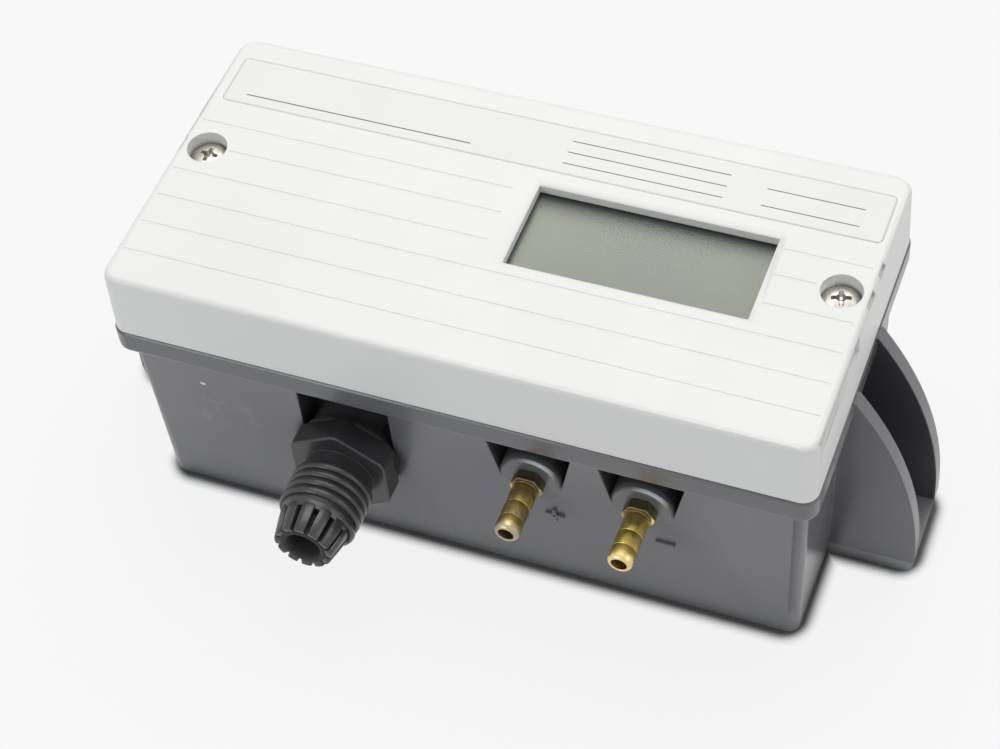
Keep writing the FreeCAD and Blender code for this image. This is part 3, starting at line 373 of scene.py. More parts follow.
def placeGroup(tree, name, **values):
    node = tree.nodes.new("ShaderNodeGroup")
    node.node_tree = groups[name]
    for label, value in values.items():
        node.inputs[label.replace("_", " ")].default_value = value
    return node.outputs


# what the moulded finishes share, where one doesn't say otherwise
mouldedValues = {
    "coatRoughness": 0.14, "roughCloud": (0.3, 0.7),
    "dust": (0.2, 0.2, 0.19), "dustAmount": 0.05, "coat": 0.0, "roughSpread": 0.08, "grainScale": 1500.0,
    "grainDepth": 0.1, "edgeRadius": 0.0001, "wearGain": 0.6,
}
finishValues = {
    "basePlastic": {"colour": (0.122, 0.124, 0.131), "cloud": (0.112, 0.114, 0.121),
                    "wear": (0.26, 0.26, 0.27), "dust": (0.42, 0.42, 0.41), "dustAmount": 0.12,
                    "roughness": 0.3, "coat": 0.25, "roughSpread": 0.1, "grainDepth": 0.08,
                    "edgeRadius": 0.0005, "wearGain": 1.6},
    "coverPlastic": {"colour": (0.8, 0.8, 0.78), "cloud": (0.77, 0.77, 0.755), "wear": (0.86, 0.86, 0.85),
                     "dust": (0.62, 0.61, 0.58), "roughness": 0.42, "grainScale": 1800.0,
                     "grainDepth": 0.12, "edgeRadius": 0.0003},
    "sealRubber": {"colour": (0.018, 0.018, 0.019), "cloud": (0.026, 0.026, 0.027),
                   "wear": (0.05, 0.05, 0.05), "dustAmount": 0.1, "roughness": 0.75, "grainScale": 2500.0,
                   "grainDepth": 0.2, "wearGain": 0.3},
    "darkPlastic": {"colour": (0.022, 0.022, 0.024), "cloud": (0.03, 0.03, 0.031),
                    "wear": (0.08, 0.08, 0.08), "dustAmount": 0.06, "roughness": 0.45, "roughSpread": 0.1,
                    "grainScale": 1800.0, "grainDepth": 0.15, "edgeRadius": 0.0002, "wearGain": 0.8},
    "glandNylon": {"colour": (0.025, 0.023, 0.026), "cloud": (0.034, 0.032, 0.035),
                   "wear": (0.06, 0.06, 0.063), "dust": (0.3, 0.29, 0.28), "dustAmount": 0.03,
                   "roughness": 0.28, "coat": 0.22, "roughSpread": 0.18, "grainScale": 900.0,
                   "edgeRadius": 0.0002},
    "softHose": {"colour": (0.62, 0.6, 0.55), "cloud": (0.55, 0.53, 0.47), "wear": (0.7, 0.68, 0.62),
                 "dust": (0.5, 0.5, 0.45), "roughness": 0.4, "roughSpread": 0.1, "grainScale": 600.0,
                 "grainDepth": 0.05, "edgeRadius": 0.0002, "wearGain": 0.2},
    "circuitBoard": {"colour": (0.02, 0.125, 0.055), "cloud": (0.016, 0.1, 0.045),
                     "wear": (0.25, 0.22, 0.1), "dust": (0.25, 0.25, 0.2), "dustAmount": 0.06,
                     "roughness": 0.34, "grainScale": 700.0, "grainDepth": 0.05},
    "ribbonGrey": {"colour": (0.36, 0.36, 0.37), "cloud": (0.3, 0.3, 0.31), "wear": (0.45, 0.45, 0.45),
                   "dust": (0.4, 0.4, 0.4), "dustAmount": 0.04, "roughness": 0.5, "grainScale": 900.0,
                   "wearGain": 0.2},
    "contactRubber": {"colour": (0.5, 0.2, 0.26), "cloud": (0.42, 0.15, 0.2), "wear": (0.6, 0.3, 0.35),
                      "dust": (0.4, 0.4, 0.4), "dustAmount": 0.04, "roughness": 0.6, "grainScale": 1200.0,
                      "wearGain": 0.2},
    "ceramicWhite": {"colour": (0.74, 0.73, 0.7), "cloud": (0.68, 0.67, 0.64), "wear": (0.8, 0.8, 0.78),
                     "dust": (0.5, 0.5, 0.45), "dustAmount": 0.03, "roughness": 0.5, "roughSpread": 0.1,
                     "grainDepth": 0.08, "wearGain": 0.3},
    "terminalGreen": {"colour": (0.03, 0.2, 0.075), "cloud": (0.024, 0.165, 0.06),
                      "wear": (0.1, 0.32, 0.15), "dust": (0.3, 0.3, 0.28), "roughness": 0.42,
                      "roughSpread": 0.1, "edgeRadius": 0.0002, "wearGain": 0.8},
    "trimmerBlue": {"colour": (0.022, 0.085, 0.3), "cloud": (0.018, 0.07, 0.25), "wear": (0.1, 0.2, 0.45),
                    "dust": (0.3, 0.3, 0.3), "dustAmount": 0.04, "roughness": 0.35, "grainDepth": 0.08,
                    "edgeRadius": 0.0002},
    "chipBlack": {"colour": (0.016, 0.016, 0.017), "cloud": (0.022, 0.022, 0.023),
                  "wear": (0.06, 0.06, 0.06), "dust": (0.2, 0.2, 0.2), "roughness": 0.55,
                  "roughSpread": 0.06, "grainScale": 2600.0, "grainDepth": 0.2, "wearGain": 0.4},
}
metalValues = {
    "nickelScrew": {"colour": (0.60, 0.575, 0.53), "dull": (0.36, 0.345, 0.315), "roughness": 0.30,
                    "roughSpread": 0.22, "grainScale": 900.0, "grainDepth": 0.10, "edgeRadius": 0.00015},
    "capsuleSteel": {"colour": (0.58, 0.58, 0.57), "dull": (0.40, 0.40, 0.39), "roughness": 0.34,
                     "roughSpread": 0.14, "grainScale": 700.0, "grainDepth": 0.08, "edgeRadius": 0.0002},
    "sheetSteel": {"colour": (0.55, 0.55, 0.545), "dull": (0.38, 0.38, 0.37), "roughness": 0.40,
                   "roughSpread": 0.14, "grainScale": 500.0, "grainDepth": 0.08, "edgeRadius": 0.0002},
    "tinnedPin": {"colour": (0.66, 0.65, 0.62), "dull": (0.45, 0.44, 0.41), "roughness": 0.30,
                  "roughSpread": 0.14, "grainScale": 900.0, "grainDepth": 0.05, "edgeRadius": 0.0001},
    "capacitorCan": {"colour": (0.60, 0.60, 0.62), "dull": (0.48, 0.48, 0.50), "roughness": 0.28,
                     "roughSpread": 0.10, "grainScale": 900.0, "grainDepth": 0.04, "edgeRadius": 0.0001},
}


brassValues = {
    "brass": {"colour": (0.82, 0.64, 0.17), "dull": (0.46, 0.34, 0.09), "tip": (0.78, 0.62, 0.33),
              "seat": (0.13, 0.11, 0.075), "tipAmount": 0.75, "roughness": 0.27, "roughSpread": 0.20},
    "brassDull": {"colour": (0.58, 0.46, 0.14), "dull": (0.26, 0.19, 0.09), "tip": (0.47, 0.39, 0.29),
                  "seat": (0.11, 0.095, 0.07), "tipAmount": 0.85, "roughness": 0.32, "roughSpread": 0.20},
}
# spans are in millimetres from the tip of a barb, collar sizes in millimetres from its axis; the collar
# values place the painted shade
tarnishAndShadeValues = {
    "tipSpan": (2.6, 0.0), "seatSpan": (11.12, 11.6), "seatAmount": 0.72, "collarSpan": (10.22, 10.62),
    "collarShadeAmount": 0.86, "collarHalf": (2.55, 2.95), "collarRing": (2.30, 2.40),
    "grainScale": 900.0, "grainDepth": 0.06, "cloudScale": 420.0, "cloudSpan": (0.38, 0.66),
    "edgeRadius": 0.0001, "wearGain": 2.0, "patchScale": 900.0,
}


def bumpFrom(tree, grain, edge, depth, distance=0.0001):
    bump = tree.nodes.new("ShaderNodeBump")
    bump.inputs["Strength"].default_value = depth
    bump.inputs["Distance"].default_value = distance
    tree.links.new(grain["Height"], bump.inputs["Height"])
    tree.links.new(edge["Normal"], bump.inputs["Normal"])
    return bump.outputs["Normal"]


def connect(tree, shader, **sources):
    for label, source in sources.items():
        tree.links.new(source, shader.inputs[label.replace("_", " ")])


def inMetres(lengths):
    return [length * mm for length in lengths]


# painted shade and highlight on the base, and its scuff and chip: places on the front wall are in metres,
# sizes and depths in millimetres
paintedLightAndScuffValues = {
    "wallFoot": -0.031, "wallLean": -0.02444, "wallDepth": 0.2, "proudDepth": -0.02,
    "pocketSpan": (0.2, 1.3), "pocketFloor": 6.0, "pocketHalfSpan": 55.0, "pocketAmount": 0.93,
    "pocketShade": (0.020, 0.020, 0.022),
    "bayHalf": 6.62, "baySpan": (3.15, 3.75), "bayStart": 66.5, "bayAmount": 0.9,
    "bayShade": (0.060, 0.060, 0.068),
    "tabSpan": (3.06, 3.16), "tabStart": 67.5, "tabAmount": 0.9, "paintedTabLight": (0.25, 0.253, 0.26),
    "glintInner": (5.05, 5.5), "glintOuter": (5.95, 6.3), "glintTurn": 1.15, "glintSpread": (0.16, 0.85),
    "glintColour": (0.62, 0.64, 0.68),
    "hollowRing": (10.2, 13.2), "hollowRise": (-8.0, 2.0), "hollowAmount": 0.88,
    "scuffPlace": (-0.0508, 0.0262), "scuffHalf": (0.0092, 0.0056), "scuffCore": 0.6, "scuffScale": 330.0,
    "scuffCloud": (0.44, 0.60), "scuffColour": (0.150, 0.146, 0.152),
    "chipPlace": (-0.0541, 0.0346), "chipHalf": (0.0007, 0.00038), "chipEdge": (0.75, 1.0),
    "chipColour": (0.72, 0.72, 0.72),
}


barbNodes = ("high_port_barb", "low_port_barb")


def nodeMiddle(name):
    low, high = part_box(name)
    return (Vector(low) + Vector(high)) / 2


def roundAxis(tree, place, node):
    # distance from the axis that runs front to back through a node, and the turn about it
    middle = nodeMiddle(node)
    across = addMath(tree, "SUBTRACT", place["X"], middle.x)
    up = addMath(tree, "SUBTRACT", place["Z"], middle.z)
    squares = [addMath(tree, "MULTIPLY", side, side) for side in (across, up)]
    return addMath(tree, "SQRT", addMath(tree, "ADD", *squares)), addMath(tree, "ARCTAN2", up, across)


def addBaseMarksAndPaintedLight(tree, colour):
    v = paintedLightAndScuffValues
    place = objectPlace(tree)
    wall = addMath(tree, "ADD", addMath(tree, "MULTIPLY", place["Z"], v["wallLean"]), v["wallFoot"])
    depth = addMath(tree, "SUBTRACT", place["Y"], wall)
    aside = addMath(tree, "ABSOLUTE", place["X"])
    # painted shade in the pockets of the front wall and in the bays above the tabs, and painted light on the
    # tabs themselves
    deep = mapRange(tree, depth, 0.0, 1.0, soft=True, span=inMetres(v["pocketSpan"]))
    shallow = addMath(tree, "LESS_THAN", depth, v["pocketFloor"] * mm)
    paintedPocketShade = allOf(tree, deep, shallow, addMath(tree, "LESS_THAN", aside, v["pocketHalfSpan"] * mm))
    colour = mixColour(tree, allOf(tree, paintedPocketShade, v["pocketAmount"]), colour, v["pocketShade"])
    between = addMath(tree, "LESS_THAN", addMath(tree, "ABSOLUTE", place["Y"]), v["bayHalf"] * mm)
    above = mapRange(tree, place["Z"], 0.0, 1.0, span=inMetres(v["baySpan"]))
    outside = addMath(tree, "GREATER_THAN", aside, v["bayStart"] * mm)
    colour = mixColour(tree, allOf(tree, between, above, outside, v["bayAmount"]), colour, v["bayShade"])
    # painted light: the tops of the tabs are made lighter
    top = mapRange(tree, place["Z"], 1.0, 0.0, span=inMetres(v["tabSpan"]))
    beyond = addMath(tree, "GREATER_THAN", aside, v["tabStart"] * mm)
    colour = mixColour(tree, allOf(tree, top, beyond, v["tabAmount"]), colour, v["paintedTabLight"])
    # painted shade round the gland, and a painted highlight on the upper front rims of the port bosses
    away = roundAxis(tree, place, "gland_body")[0]
    paintedGlandShade = mapRange(tree, away, v["hollowAmount"], 0.0, soft=True, span=inMetres(v["hollowRing"]))
    rise = [nodeMiddle("gland_body").z + height for height in inMetres(v["hollowRise"])]
    upper = mapRange(tree, place["Z"], 0.0, 1.0, soft=True, span=rise)
    paintedGlandShade = allOf(tree, paintedGlandShade, shallow, upper)
    colour = mixColour(tree, paintedGlandShade, colour, v["pocketShade"])
    proud = addMath(tree, "LESS_THAN", depth, v["proudDepth"] * mm)
    # painted highlight: an arc on the upper front rim of each port boss
    for port in barbNodes:
        away, turn = roundAxis(tree, place, port)
        inner = mapRange(tree, away, 0.0, 1.0, soft=True, span=inMetres(v["glintInner"]))
        outer = mapRange(tree, away, 1.0, 0.0, soft=True, span=inMetres(v["glintOuter"]))
        arc = mapRange(tree, awayFrom(tree, turn, v["glintTurn"]), 1.0, 0.0, soft=True, span=v["glintSpread"])
        colour = mixColour(tree, allOf(tree, inner, outer, arc, proud), colour, v["glintColour"])
    # a rubbed patch and one small chip on the front wall
    patch = []
    for axis, centre, half in zip("XZ", v["scuffPlace"], v["scuffHalf"]):
        away = awayFrom(tree, place[axis], centre)
        patch.append(mapRange(tree, away, 1.0, 0.0, soft=True, span=(half * v["scuffCore"], half)))
    front = addMath(tree, "LESS_THAN", addMath(tree, "ABSOLUTE", depth), v["wallDepth"] * mm)
    smear = placeGroup(tree, "grain", Cloud_Scale=v["scuffScale"])
    rubbed = mapRange(tree, smear["Cloud"], 0.0, 1.0, soft=True, span=v["scuffCloud"])
    colour = mixColour(tree, allOf(tree, *patch, rubbed, front), colour, v["scuffColour"])
    chip = []
    for axis, centre, half in zip("XZ", v["chipPlace"], v["chipHalf"]):
        away = addMath(tree, "DIVIDE", addMath(tree, "SUBTRACT", place[axis], centre), half)
        chip.append(addMath(tree, "MULTIPLY", away, away))
    spot = mapRange(tree, addMath(tree, "ADD", *chip), 1.0, 0.0, span=v["chipEdge"])
    colour = mixColour(tree, allOf(tree, spot, front), colour, v["chipColour"])
    # the second value is where shade is painted, for roughness and coat
    return colour, addMath(tree, "MAXIMUM", paintedPocketShade, paintedGlandShade)


def makePlastic(name):
    v = {**mouldedValues, **finishValues[name]}
    material, tree, shader = newMaterial(name)
    grain = placeGroup(tree, "grain", Scale=v["grainScale"])
    edge = placeGroup(tree, "edge", Radius=v["edgeRadius"], Gain=v["wearGain"])
    dust = placeGroup(tree, "dust", Amount=v["dustAmount"])
    colour = mixColour(tree, grain["Cloud"], v["colour"], v["cloud"])
    colour = mixColour(tree, edge["Mask"], colour, v["wear"])
    colour = mixColour(tree, dust["Mask"], colour, v["dust"])
    shader.inputs["Coat Weight"].default_value = v["coat"]
    shader.inputs["Coat Roughness"].default_value = v["coatRoughness"]
    low, high = v["roughness"] - v["roughSpread"] / 2, v["roughness"] + v["roughSpread"]
    rough = mapRange(tree, grain["Cloud"], low, high, span=v["roughCloud"])
    if name == "basePlastic":
        # the painted pocket and gland shade also roughens the base and takes its coat away
        colour, paintedShadeMask = addBaseMarksAndPaintedLight(tree, colour)
        rough = addMath(tree, "MAXIMUM", rough, paintedShadeMask)
        connect(tree, shader, Coat_Weight=mapRange(tree, paintedShadeMask, v["coat"], 0.0))
    normal = bumpFrom(tree, grain, edge, v["grainDepth"])
    connect(tree, shader, Base_Color=colour, Roughness=rough, Normal=normal)
    return material


def makeMetal(name):
    v = metalValues[name]
    cloudScale, cloudSpan = 260.0, (0.35, 0.68)
    material, tree, shader = newMaterial(name)
    shader.inputs["Metallic"].default_value = 1.0
    grain = placeGroup(tree, "grain", Scale=v["grainScale"], Cloud_Scale=cloudScale)
    edge = placeGroup(tree, "edge", Radius=v["edgeRadius"])
    cloud = mapRange(tree, grain["Cloud"], 0.0, 1.0, soft=True, span=cloudSpan)
    colour = mixColour(tree, cloud, v["colour"], v["dull"])
    rough = mapRange(tree, cloud, v["roughness"], v["roughness"] + v["roughSpread"])
    normal = bumpFrom(tree, grain, edge, v["grainDepth"])
    connect(tree, shader, Base_Color=colour, Roughness=rough, Normal=normal)
    return material


def makeBrass(name):
    # brass that is rubbed pale near the tip and dark where fingers don't reach, with painted shade across the
    # collar
    v = {**tarnishAndShadeValues, **brassValues[name]}
    material, tree, shader = newMaterial(name)
    shader.inputs["Metallic"].default_value = 1.0
    grain = placeGroup(tree, "grain", Scale=v["grainScale"], Cloud_Scale=v["cloudScale"])
    edge = placeGroup(tree, "edge", Radius=v["edgeRadius"], Gain=v["wearGain"], Patch_Scale=v["patchScale"])
    cloud = mapRange(tree, grain["Cloud"], 0.0, 1.0, soft=True, span=v["cloudSpan"])
    place = objectPlace(tree)
    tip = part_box("high_port_barb")[0][1]
    tipSpan, seatSpan, collarSpan = [[tip + length for length in inMetres(v[key])]
                                     for key in ("tipSpan", "seatSpan", "collarSpan")]
    worn = mapRange(tree, place["Y"], 0.0, v["tipAmount"], soft=True, span=tipSpan)
    tarnish = mapRange(tree, place["Y"], 0.0, v["seatAmount"], span=seatSpan)
    colour = mixColour(tree, cloud, v["colour"], v["dull"])
    colour = mixColour(tree, worn, colour, v["tip"])
    colour = mixColour(tree, tarnish, colour, v["seat"])
    colour = mixColour(tree, edge["Mask"], colour, v["tip"])
    # painted shade across the collar above and below the stem, leaving its two side corners bright
    top = mapRange(tree, place["Y"], 0.0, v["collarShadeAmount"], span=collarSpan)
    for node in barbNodes:
        away = roundAxis(tree, place, node)[0]
        aside = awayFrom(tree, place["X"], nodeMiddle(node).x)
        narrow = mapRange(tree, aside, 1.0, 0.0, soft=True, span=inMetres(v["collarHalf"]))
        outside = mapRange(tree, away, 0.0, 1.0, span=inMetres(v["collarRing"]))
        colour = mixColour(tree, allOf(tree, narrow, outside, top), colour, v["seat"])
    rough = mapRange(tree, cloud, v["roughness"], v["roughness"] + v["roughSpread"])
    normal = bumpFrom(tree, grain, edge, v["grainDepth"])
    connect(tree, shader, Base_Color=colour, Roughness=rough, Normal=normal)
    return material


materials = {name: makePlastic(name) for name in finishValues}
materials.update({name: makeMetal(name) for name in metalValues})
materials.update({name: makeBrass(name) for name in brassValues})


# the margin is how far the pane reaches under the cover on each side
paneValues = {"margin": 1.5, "alpha": 0.14, "colour": (0.045, 0.048, 0.047), "cloud": (0.035, 0.037, 0.036),
              "roughness": (0.01, 0.05)}


def makeWindowClear():
    v = paneValues
    material, tree, shader = newMaterial("windowClear")
    shader.inputs["Alpha"].default_value = v["alpha"]
    cloud = placeGroup(tree, "grain")["Cloud"]
    connect(tree, shader, Base_Color=mixColour(tree, cloud, v["colour"], v["cloud"]),
            Roughness=mapRange(tree, cloud, *v["roughness"]))
    return material


lcdValues = {
    "colour": (0.525, 0.560, 0.452), "shade": (0.480, 0.512, 0.418),
    "cloudScale": 22.0, "cloudSpan": (0.3, 0.7),
    "lipShade": (0.150, 0.158, 0.150), "lipReach": 7.5, "lipPower": 1.8, "sideReach": 1.4, "sideAmount": 0.8,
    "roughness": (0.42, 0.50), "specular": 0.25,
}


def makeLcdPanel():
    v = lcdValues
    material, tree, shader = newMaterial("lcdPanel")
    grain = placeGroup(tree, "grain", Cloud_Scale=v["cloudScale"])
    cloud = mapRange(tree, grain["Cloud"], 0.0, 1.0, soft=True, span=v["cloudSpan"])
    colour = mixColour(tree, cloud, v["colour"], v["shade"])
    # painted shadow: the glass is darker close under the rear and left lips of the window
    place = objectPlace(tree)
    low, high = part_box("window_pane")
    rear, left = high[1] - paneValues["margin"] * mm, low[0] + paneValues["margin"] * mm
    lip = mapRange(tree, place["Y"], 0.0, 1.0, soft=True, span=(rear - v["lipReach"] * mm, rear))
    reach = (left, left + v["sideReach"] * mm)
    side = mapRange(tree, place["X"], v["sideAmount"], 0.0, soft=True, span=reach)
    shaded = addMath(tree, "MAXIMUM", addMath(tree, "POWER", lip, v["lipPower"]), side)
    connect(tree, shader, Base_Color=mixColour(tree, shaded, colour, v["lipShade"]),
            Roughness=mapRange(tree, grain["Cloud"], *v["roughness"]))
    shader.inputs["Specular IOR Level"].default_value = v["specular"]
    return material


labelValues = {
    "colour": (0.775, 0.775, 0.76), "cloud": (0.75, 0.75, 0.735), "outline": (0.50, 0.50, 0.49),
    "ink": (0.055, 0.055, 0.052), "outlineInset": 0.12, "outlineWidth": 0.16,
    "grainScale": 1200.0, "cloudScale": 60.0, "grainDepth": 0.05, "edgeRadius": 0.0001,
    "roughness": (0.40, 0.52),
    # plain write-on rules: middle and half size in millimetres from the middle of the film
    "rules": [((-39.0, -3.6), (24.0, 0.13)), ((20.0, 2.6), (16.0, 0.11)), ((20.0, -0.4), (16.0, 0.11)),
              ((20.0, -3.4), (16.0, 0.11)), ((53.0, 1.2), (9.5, 0.11)), ((53.0, -3.2), (9.5, 0.11))],
}


def insideBox(tree, place, middle, half, soft=0.03):
    # one inside a box on the top face, zero outside it
    masks = []
    for axis, centre, reach in zip("XY", middle, half):
        away = awayFrom(tree, place[axis], centre)
        masks.append(mapRange(tree, away, 1.0, 0.0, span=(reach - soft * mm, reach + soft * mm)))
    return allOf(tree, *masks)


def makeLabelFilm():
    v = labelValues
    material, tree, shader = newMaterial("labelFilm")
    grain = placeGroup(tree, "grain", Scale=v["grainScale"], Cloud_Scale=v["cloudScale"])
    edge = placeGroup(tree, "edge", Radius=v["edgeRadius"])
    colour = mixColour(tree, grain["Cloud"], v["colour"], v["cloud"])
    low, high = (Vector(corner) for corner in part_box("label_film"))
    middle, half = (low + high) / 2, (high - low) / 2
    place = objectPlace(tree)
    edges = []
    for inset in inMetres((v["outlineInset"], v["outlineInset"] + v["outlineWidth"])):
        edges.append(insideBox(tree, place, middle[:2], (half.x - inset, half.y - inset)))
    outline = addMath(tree, "SUBTRACT", *edges, clamp=True)
    colour = mixColour(tree, outline, colour, v["outline"])
    printed = 0.0
    for offset, size in v["rules"]:
        centre = (middle.x + offset[0] * mm, middle.y + offset[1] * mm)
        printed = addMath(tree, "MAXIMUM", printed, insideBox(tree, place, centre, inMetres(size)))
    normal = bumpFrom(tree, grain, edge, v["grainDepth"])
    connect(tree, shader, Base_Color=mixColour(tree, printed, colour, v["ink"]), Normal=normal,
            Roughness=mapRange(tree, grain["Cloud"], *v["roughness"]))
    return material


materials["windowClear"] = makeWindowClear()
materials["lcdPanel"] = makeLcdPanel()
materials["labelFilm"] = makeLabelFilm()
print("finishes made:", len(materials))


slotFinishes = {
    "base_plastic": "basePlastic", "cover_plastic": "coverPlastic", "seal_rubber": "sealRubber",
    "plated_screw": "nickelScrew", "brass": "brass", "label_film": "labelFilm",
    "window_clear": "windowClear", "lcd_panel": "lcdPanel", "dark_plastic": "darkPlastic",
    "contact_rubber": "contactRubber", "circuit_board": "circuitBoard", "ribbon_grey": "ribbonGrey",
    "gland_nylon": "glandNylon", "hose_soft": "softHose", "capsule_steel": "capsuleSteel",
    "ceramic_white": "ceramicWhite", "sheet_steel": "sheetSteel", "terminal_plastic": "terminalGreen",
    "tinned_pin": "tinnedPin", "trimmer_plastic": "trimmerBlue", "chip_black": "chipBlack",
    "capacitor_can": "capacitorCan",
}
nodeSlots = {row["node"]: row["material_slot"] for row in frame["record"]["subparts"]}
for name in nodes:
    mesh = nodes[name].data
    mesh.materials.clear()
    mesh.materials.append(materials[slotFinishes[nodeSlots[name]]])
print("CAD nodes dressed")


def activate(piece):
    clearSelection()
    bpy.context.view_layer.objects.active = piece
    piece.select_set(True)


def editMesh(piece):
    # edit mode with the whole mesh selected
    activate(piece)
    bpy.ops.object.mode_set(mode="EDIT")
    bpy.ops.mesh.select_all(action="SELECT")


smoothValues = {"mergeWithin": 0.008, "flatWithin": 0.4, "edgeAngle": 30, "weight": 80}


def smoothCopy(node, name):
    # the node's shape with its doubles merged and its flat faces whole, so that it shades evenly
    v = smoothValues
    piece = bpy.data.objects.new(name, nodes[node].data.copy())
    bpy.context.scene.collection.objects.link(piece)
    editMesh(piece)
    bpy.ops.mesh.remove_doubles(threshold=v["mergeWithin"] * mm)
    bpy.ops.mesh.dissolve_limited(angle_limit=math.radians(v["flatWithin"]))
    bpy.ops.object.mode_set(mode="OBJECT")
    bpy.ops.object.shade_smooth_by_angle(angle=math.radians(v["edgeAngle"]))
    even = piece.modifiers.new("even", "WEIGHTED_NORMAL")
    even.keep_sharp = True
    even.weight = v["weight"]
    bpy.ops.object.modifier_apply(modifier="even")
    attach(piece, body_of(nodes[node])[0])
    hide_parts(node)
    return piece


grooveValues = {"cutDepth": 0.35, "shownDepth": 0.05, "within": 0.02}


def softenGrooves(piece):
    # the moulded lines on the cover have worn nearly flush
    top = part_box("front_cover")[1][2]
    cut = top - grooveValues["cutDepth"] * mm
    for vertex in piece.data.vertices:
        if abs(vertex.co.z - cut) < grooveValues["within"] * mm:
            vertex.co.z = top - grooveValues["shownDepth"] * mm


smoothCopy("base_housing", "baseShell")
softenGrooves(smoothCopy("front_cover", "coverShell"))
print("smooth shells made")


def selectEdges(piece, wanted):
    # wanted looks at both ends of an edge, in the object's own frame
    editMesh(piece)
    bpy.ops.mesh.select_mode(type="EDGE")
    bpy.ops.mesh.select_all(action="DESELECT")
    bpy.ops.object.mode_set(mode="OBJECT")
    mesh = piece.data
    for edge in mesh.edges:
        start, end = (mesh.vertices[v].co for v in edge.vertices)
        edge.select = wanted(start, end)
    bpy.ops.object.mode_set(mode="EDIT")


def settle(piece, angle=35):
    # place, turn and scale go into the mesh; doubles go, and faces point outwards
    activate(piece)
    bpy.ops.object.transform_apply(location=True, rotation=True, scale=True)
    bpy.ops.object.mode_set(mode="EDIT")
    bpy.ops.mesh.select_mode(type="VERT")
    bpy.ops.mesh.select_all(action="SELECT")
    bpy.ops.mesh.remove_doubles(threshold=0.000002)
    bpy.ops.mesh.normals_make_consistent(inside=False)
    bpy.ops.object.mode_set(mode="OBJECT")
    bpy.ops.object.shade_smooth_by_angle(angle=math.radians(angle))
    return piece


def turnedPiece(name, centre, rings, segments=48, upward=False, turn=0.0):
    # rings are (radius, distance) pairs in millimetres, towards the front or upwards
    clearSelection()
    ahead = Vector((0, 0, 1)) if upward else Vector((0, -1, 0))
    lean = (0, 0, 0) if upward else (math.pi / 2, 0, 0)
    radius, along = rings[0]
    place = Vector(centre) + ahead * along * mm
    bpy.ops.mesh.primitive_circle_add(vertices=segments, radius=radius * mm, fill_type="NGON",
                                      location=place, rotation=lean)
    piece = bpy.context.object
    piece.name = name
    editMesh(piece)
    if turn:
        bpy.ops.transform.rotate(value=math.radians(turn), orient_axis="Z" if upward else "Y",
                                 center_override=place)
    for (oldRadius, oldAlong), (radius, along) in zip(rings, rings[1:]):
        step = ahead * (along - oldAlong) * mm
        bpy.ops.mesh.extrude_region_move(TRANSFORM_OT_translate={"value": step})
        grow = radius / oldRadius
        sizes = (grow, grow, 1) if upward else (grow, 1, grow)
        bpy.ops.transform.resize(value=sizes, center_override=Vector(centre) + ahead * along * mm)
    bpy.ops.object.mode_set(mode="OBJECT")
    return piece


def joinPieces(first, others):
    activate(first)
    for piece in others:
        piece.select_set(True)
    bpy.ops.object.join()
    return first


def dress(piece, node, material=None):
    piece.data.materials.clear()
    piece.data.materials.append(materials[material or slotFinishes[nodeSlots[node]]])
    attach(piece, body_of(nodes[node])[0])


def applyModifiers(piece):
    activate(piece)
    for name in [modifier.name for modifier in piece.modifiers]:
        bpy.ops.object.modifier_apply(modifier=name)


def bevelledHexagon(name, seat, v):
    # a hexagon with rounded corners and a softened front edge
    rings = [(v["hexRadius"], v["hexStart"]), (v["hexRadius"], v["hexLength"])]
    piece = settle(turnedPiece(name, seat, rings, segments=6, turn=v["hexTurn"]))
    selectEdges(piece, lambda a, b: abs(a.x - b.x) < nearly and abs(a.z - b.z) < nearly)
    bpy.ops.mesh.bevel(offset=v["hexCornerRound"] * mm, segments=v["hexCornerSteps"])
    front = seat.y - v["hexLength"] * mm
    selectEdges(piece, lambda a, b: abs(a.y - front) < nearly and abs(b.y - front) < nearly)
    bpy.ops.mesh.bevel(offset=v["hexEdge"] * mm, segments=2)
    bpy.ops.object.mode_set(mode="OBJECT")
    return settle(piece, v["hexAngle"])


def startBlock(place, sizes):
    # a block of these sizes in millimetres, left in edit mode
    clearSelection()
    bpy.ops.mesh.primitive_cube_add(size=mm, location=place)
    piece = bpy.context.object
    editMesh(piece)
    bpy.ops.transform.resize(value=sizes, center_override=place)
    return piece


glandValues = {
    "hexRadius": 20 / math.sqrt(3), "hexStart": 0.05, "hexLength": 5.0, "hexTurn": 0, "hexCornerRound": 1.2,
    "hexCornerSteps": 4, "hexEdge": 0.35, "hexAngle": 28, "backRadius": 7.9, "backDepth": 13.4,
    "neckRadius": 7.15, "neckEnd": 7.2, "threadCrest": 8.18, "threadRoot": 7.3, "pitch": 2.0, "turns": 5,
    "beadHalfWidth": 0.99, "beadHalfHeight": 0.58, "beadSides": 12, "turnSteps": 40, "fadeSteps": 14,
    "threadStart": 6.9, "threadEnd": 16.6, "fadeRadius": 6.4,
    "bandEnd": 18.2, "bandRadius": 6.95, "fingerCount": 12, "fingerStart": 17.4, "fingerEnd": 23.45,
    "fingerWidth": 2.45, "fingerThick": 1.5, "fingerLean": 10.8, "fingerHeight": 5.82, "bore": 4.6,
    "boreDepth": 9.0, "fingerTip": 0.9, "tipNarrow": 0.88, "tipDrop": 0.10, "fingerSoft": 0.28,
}
glandAxis = nodeMiddle("gland_body")
glandSeat = Vector((glandAxis.x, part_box("gland_washer")[0][1], glandAxis.z))


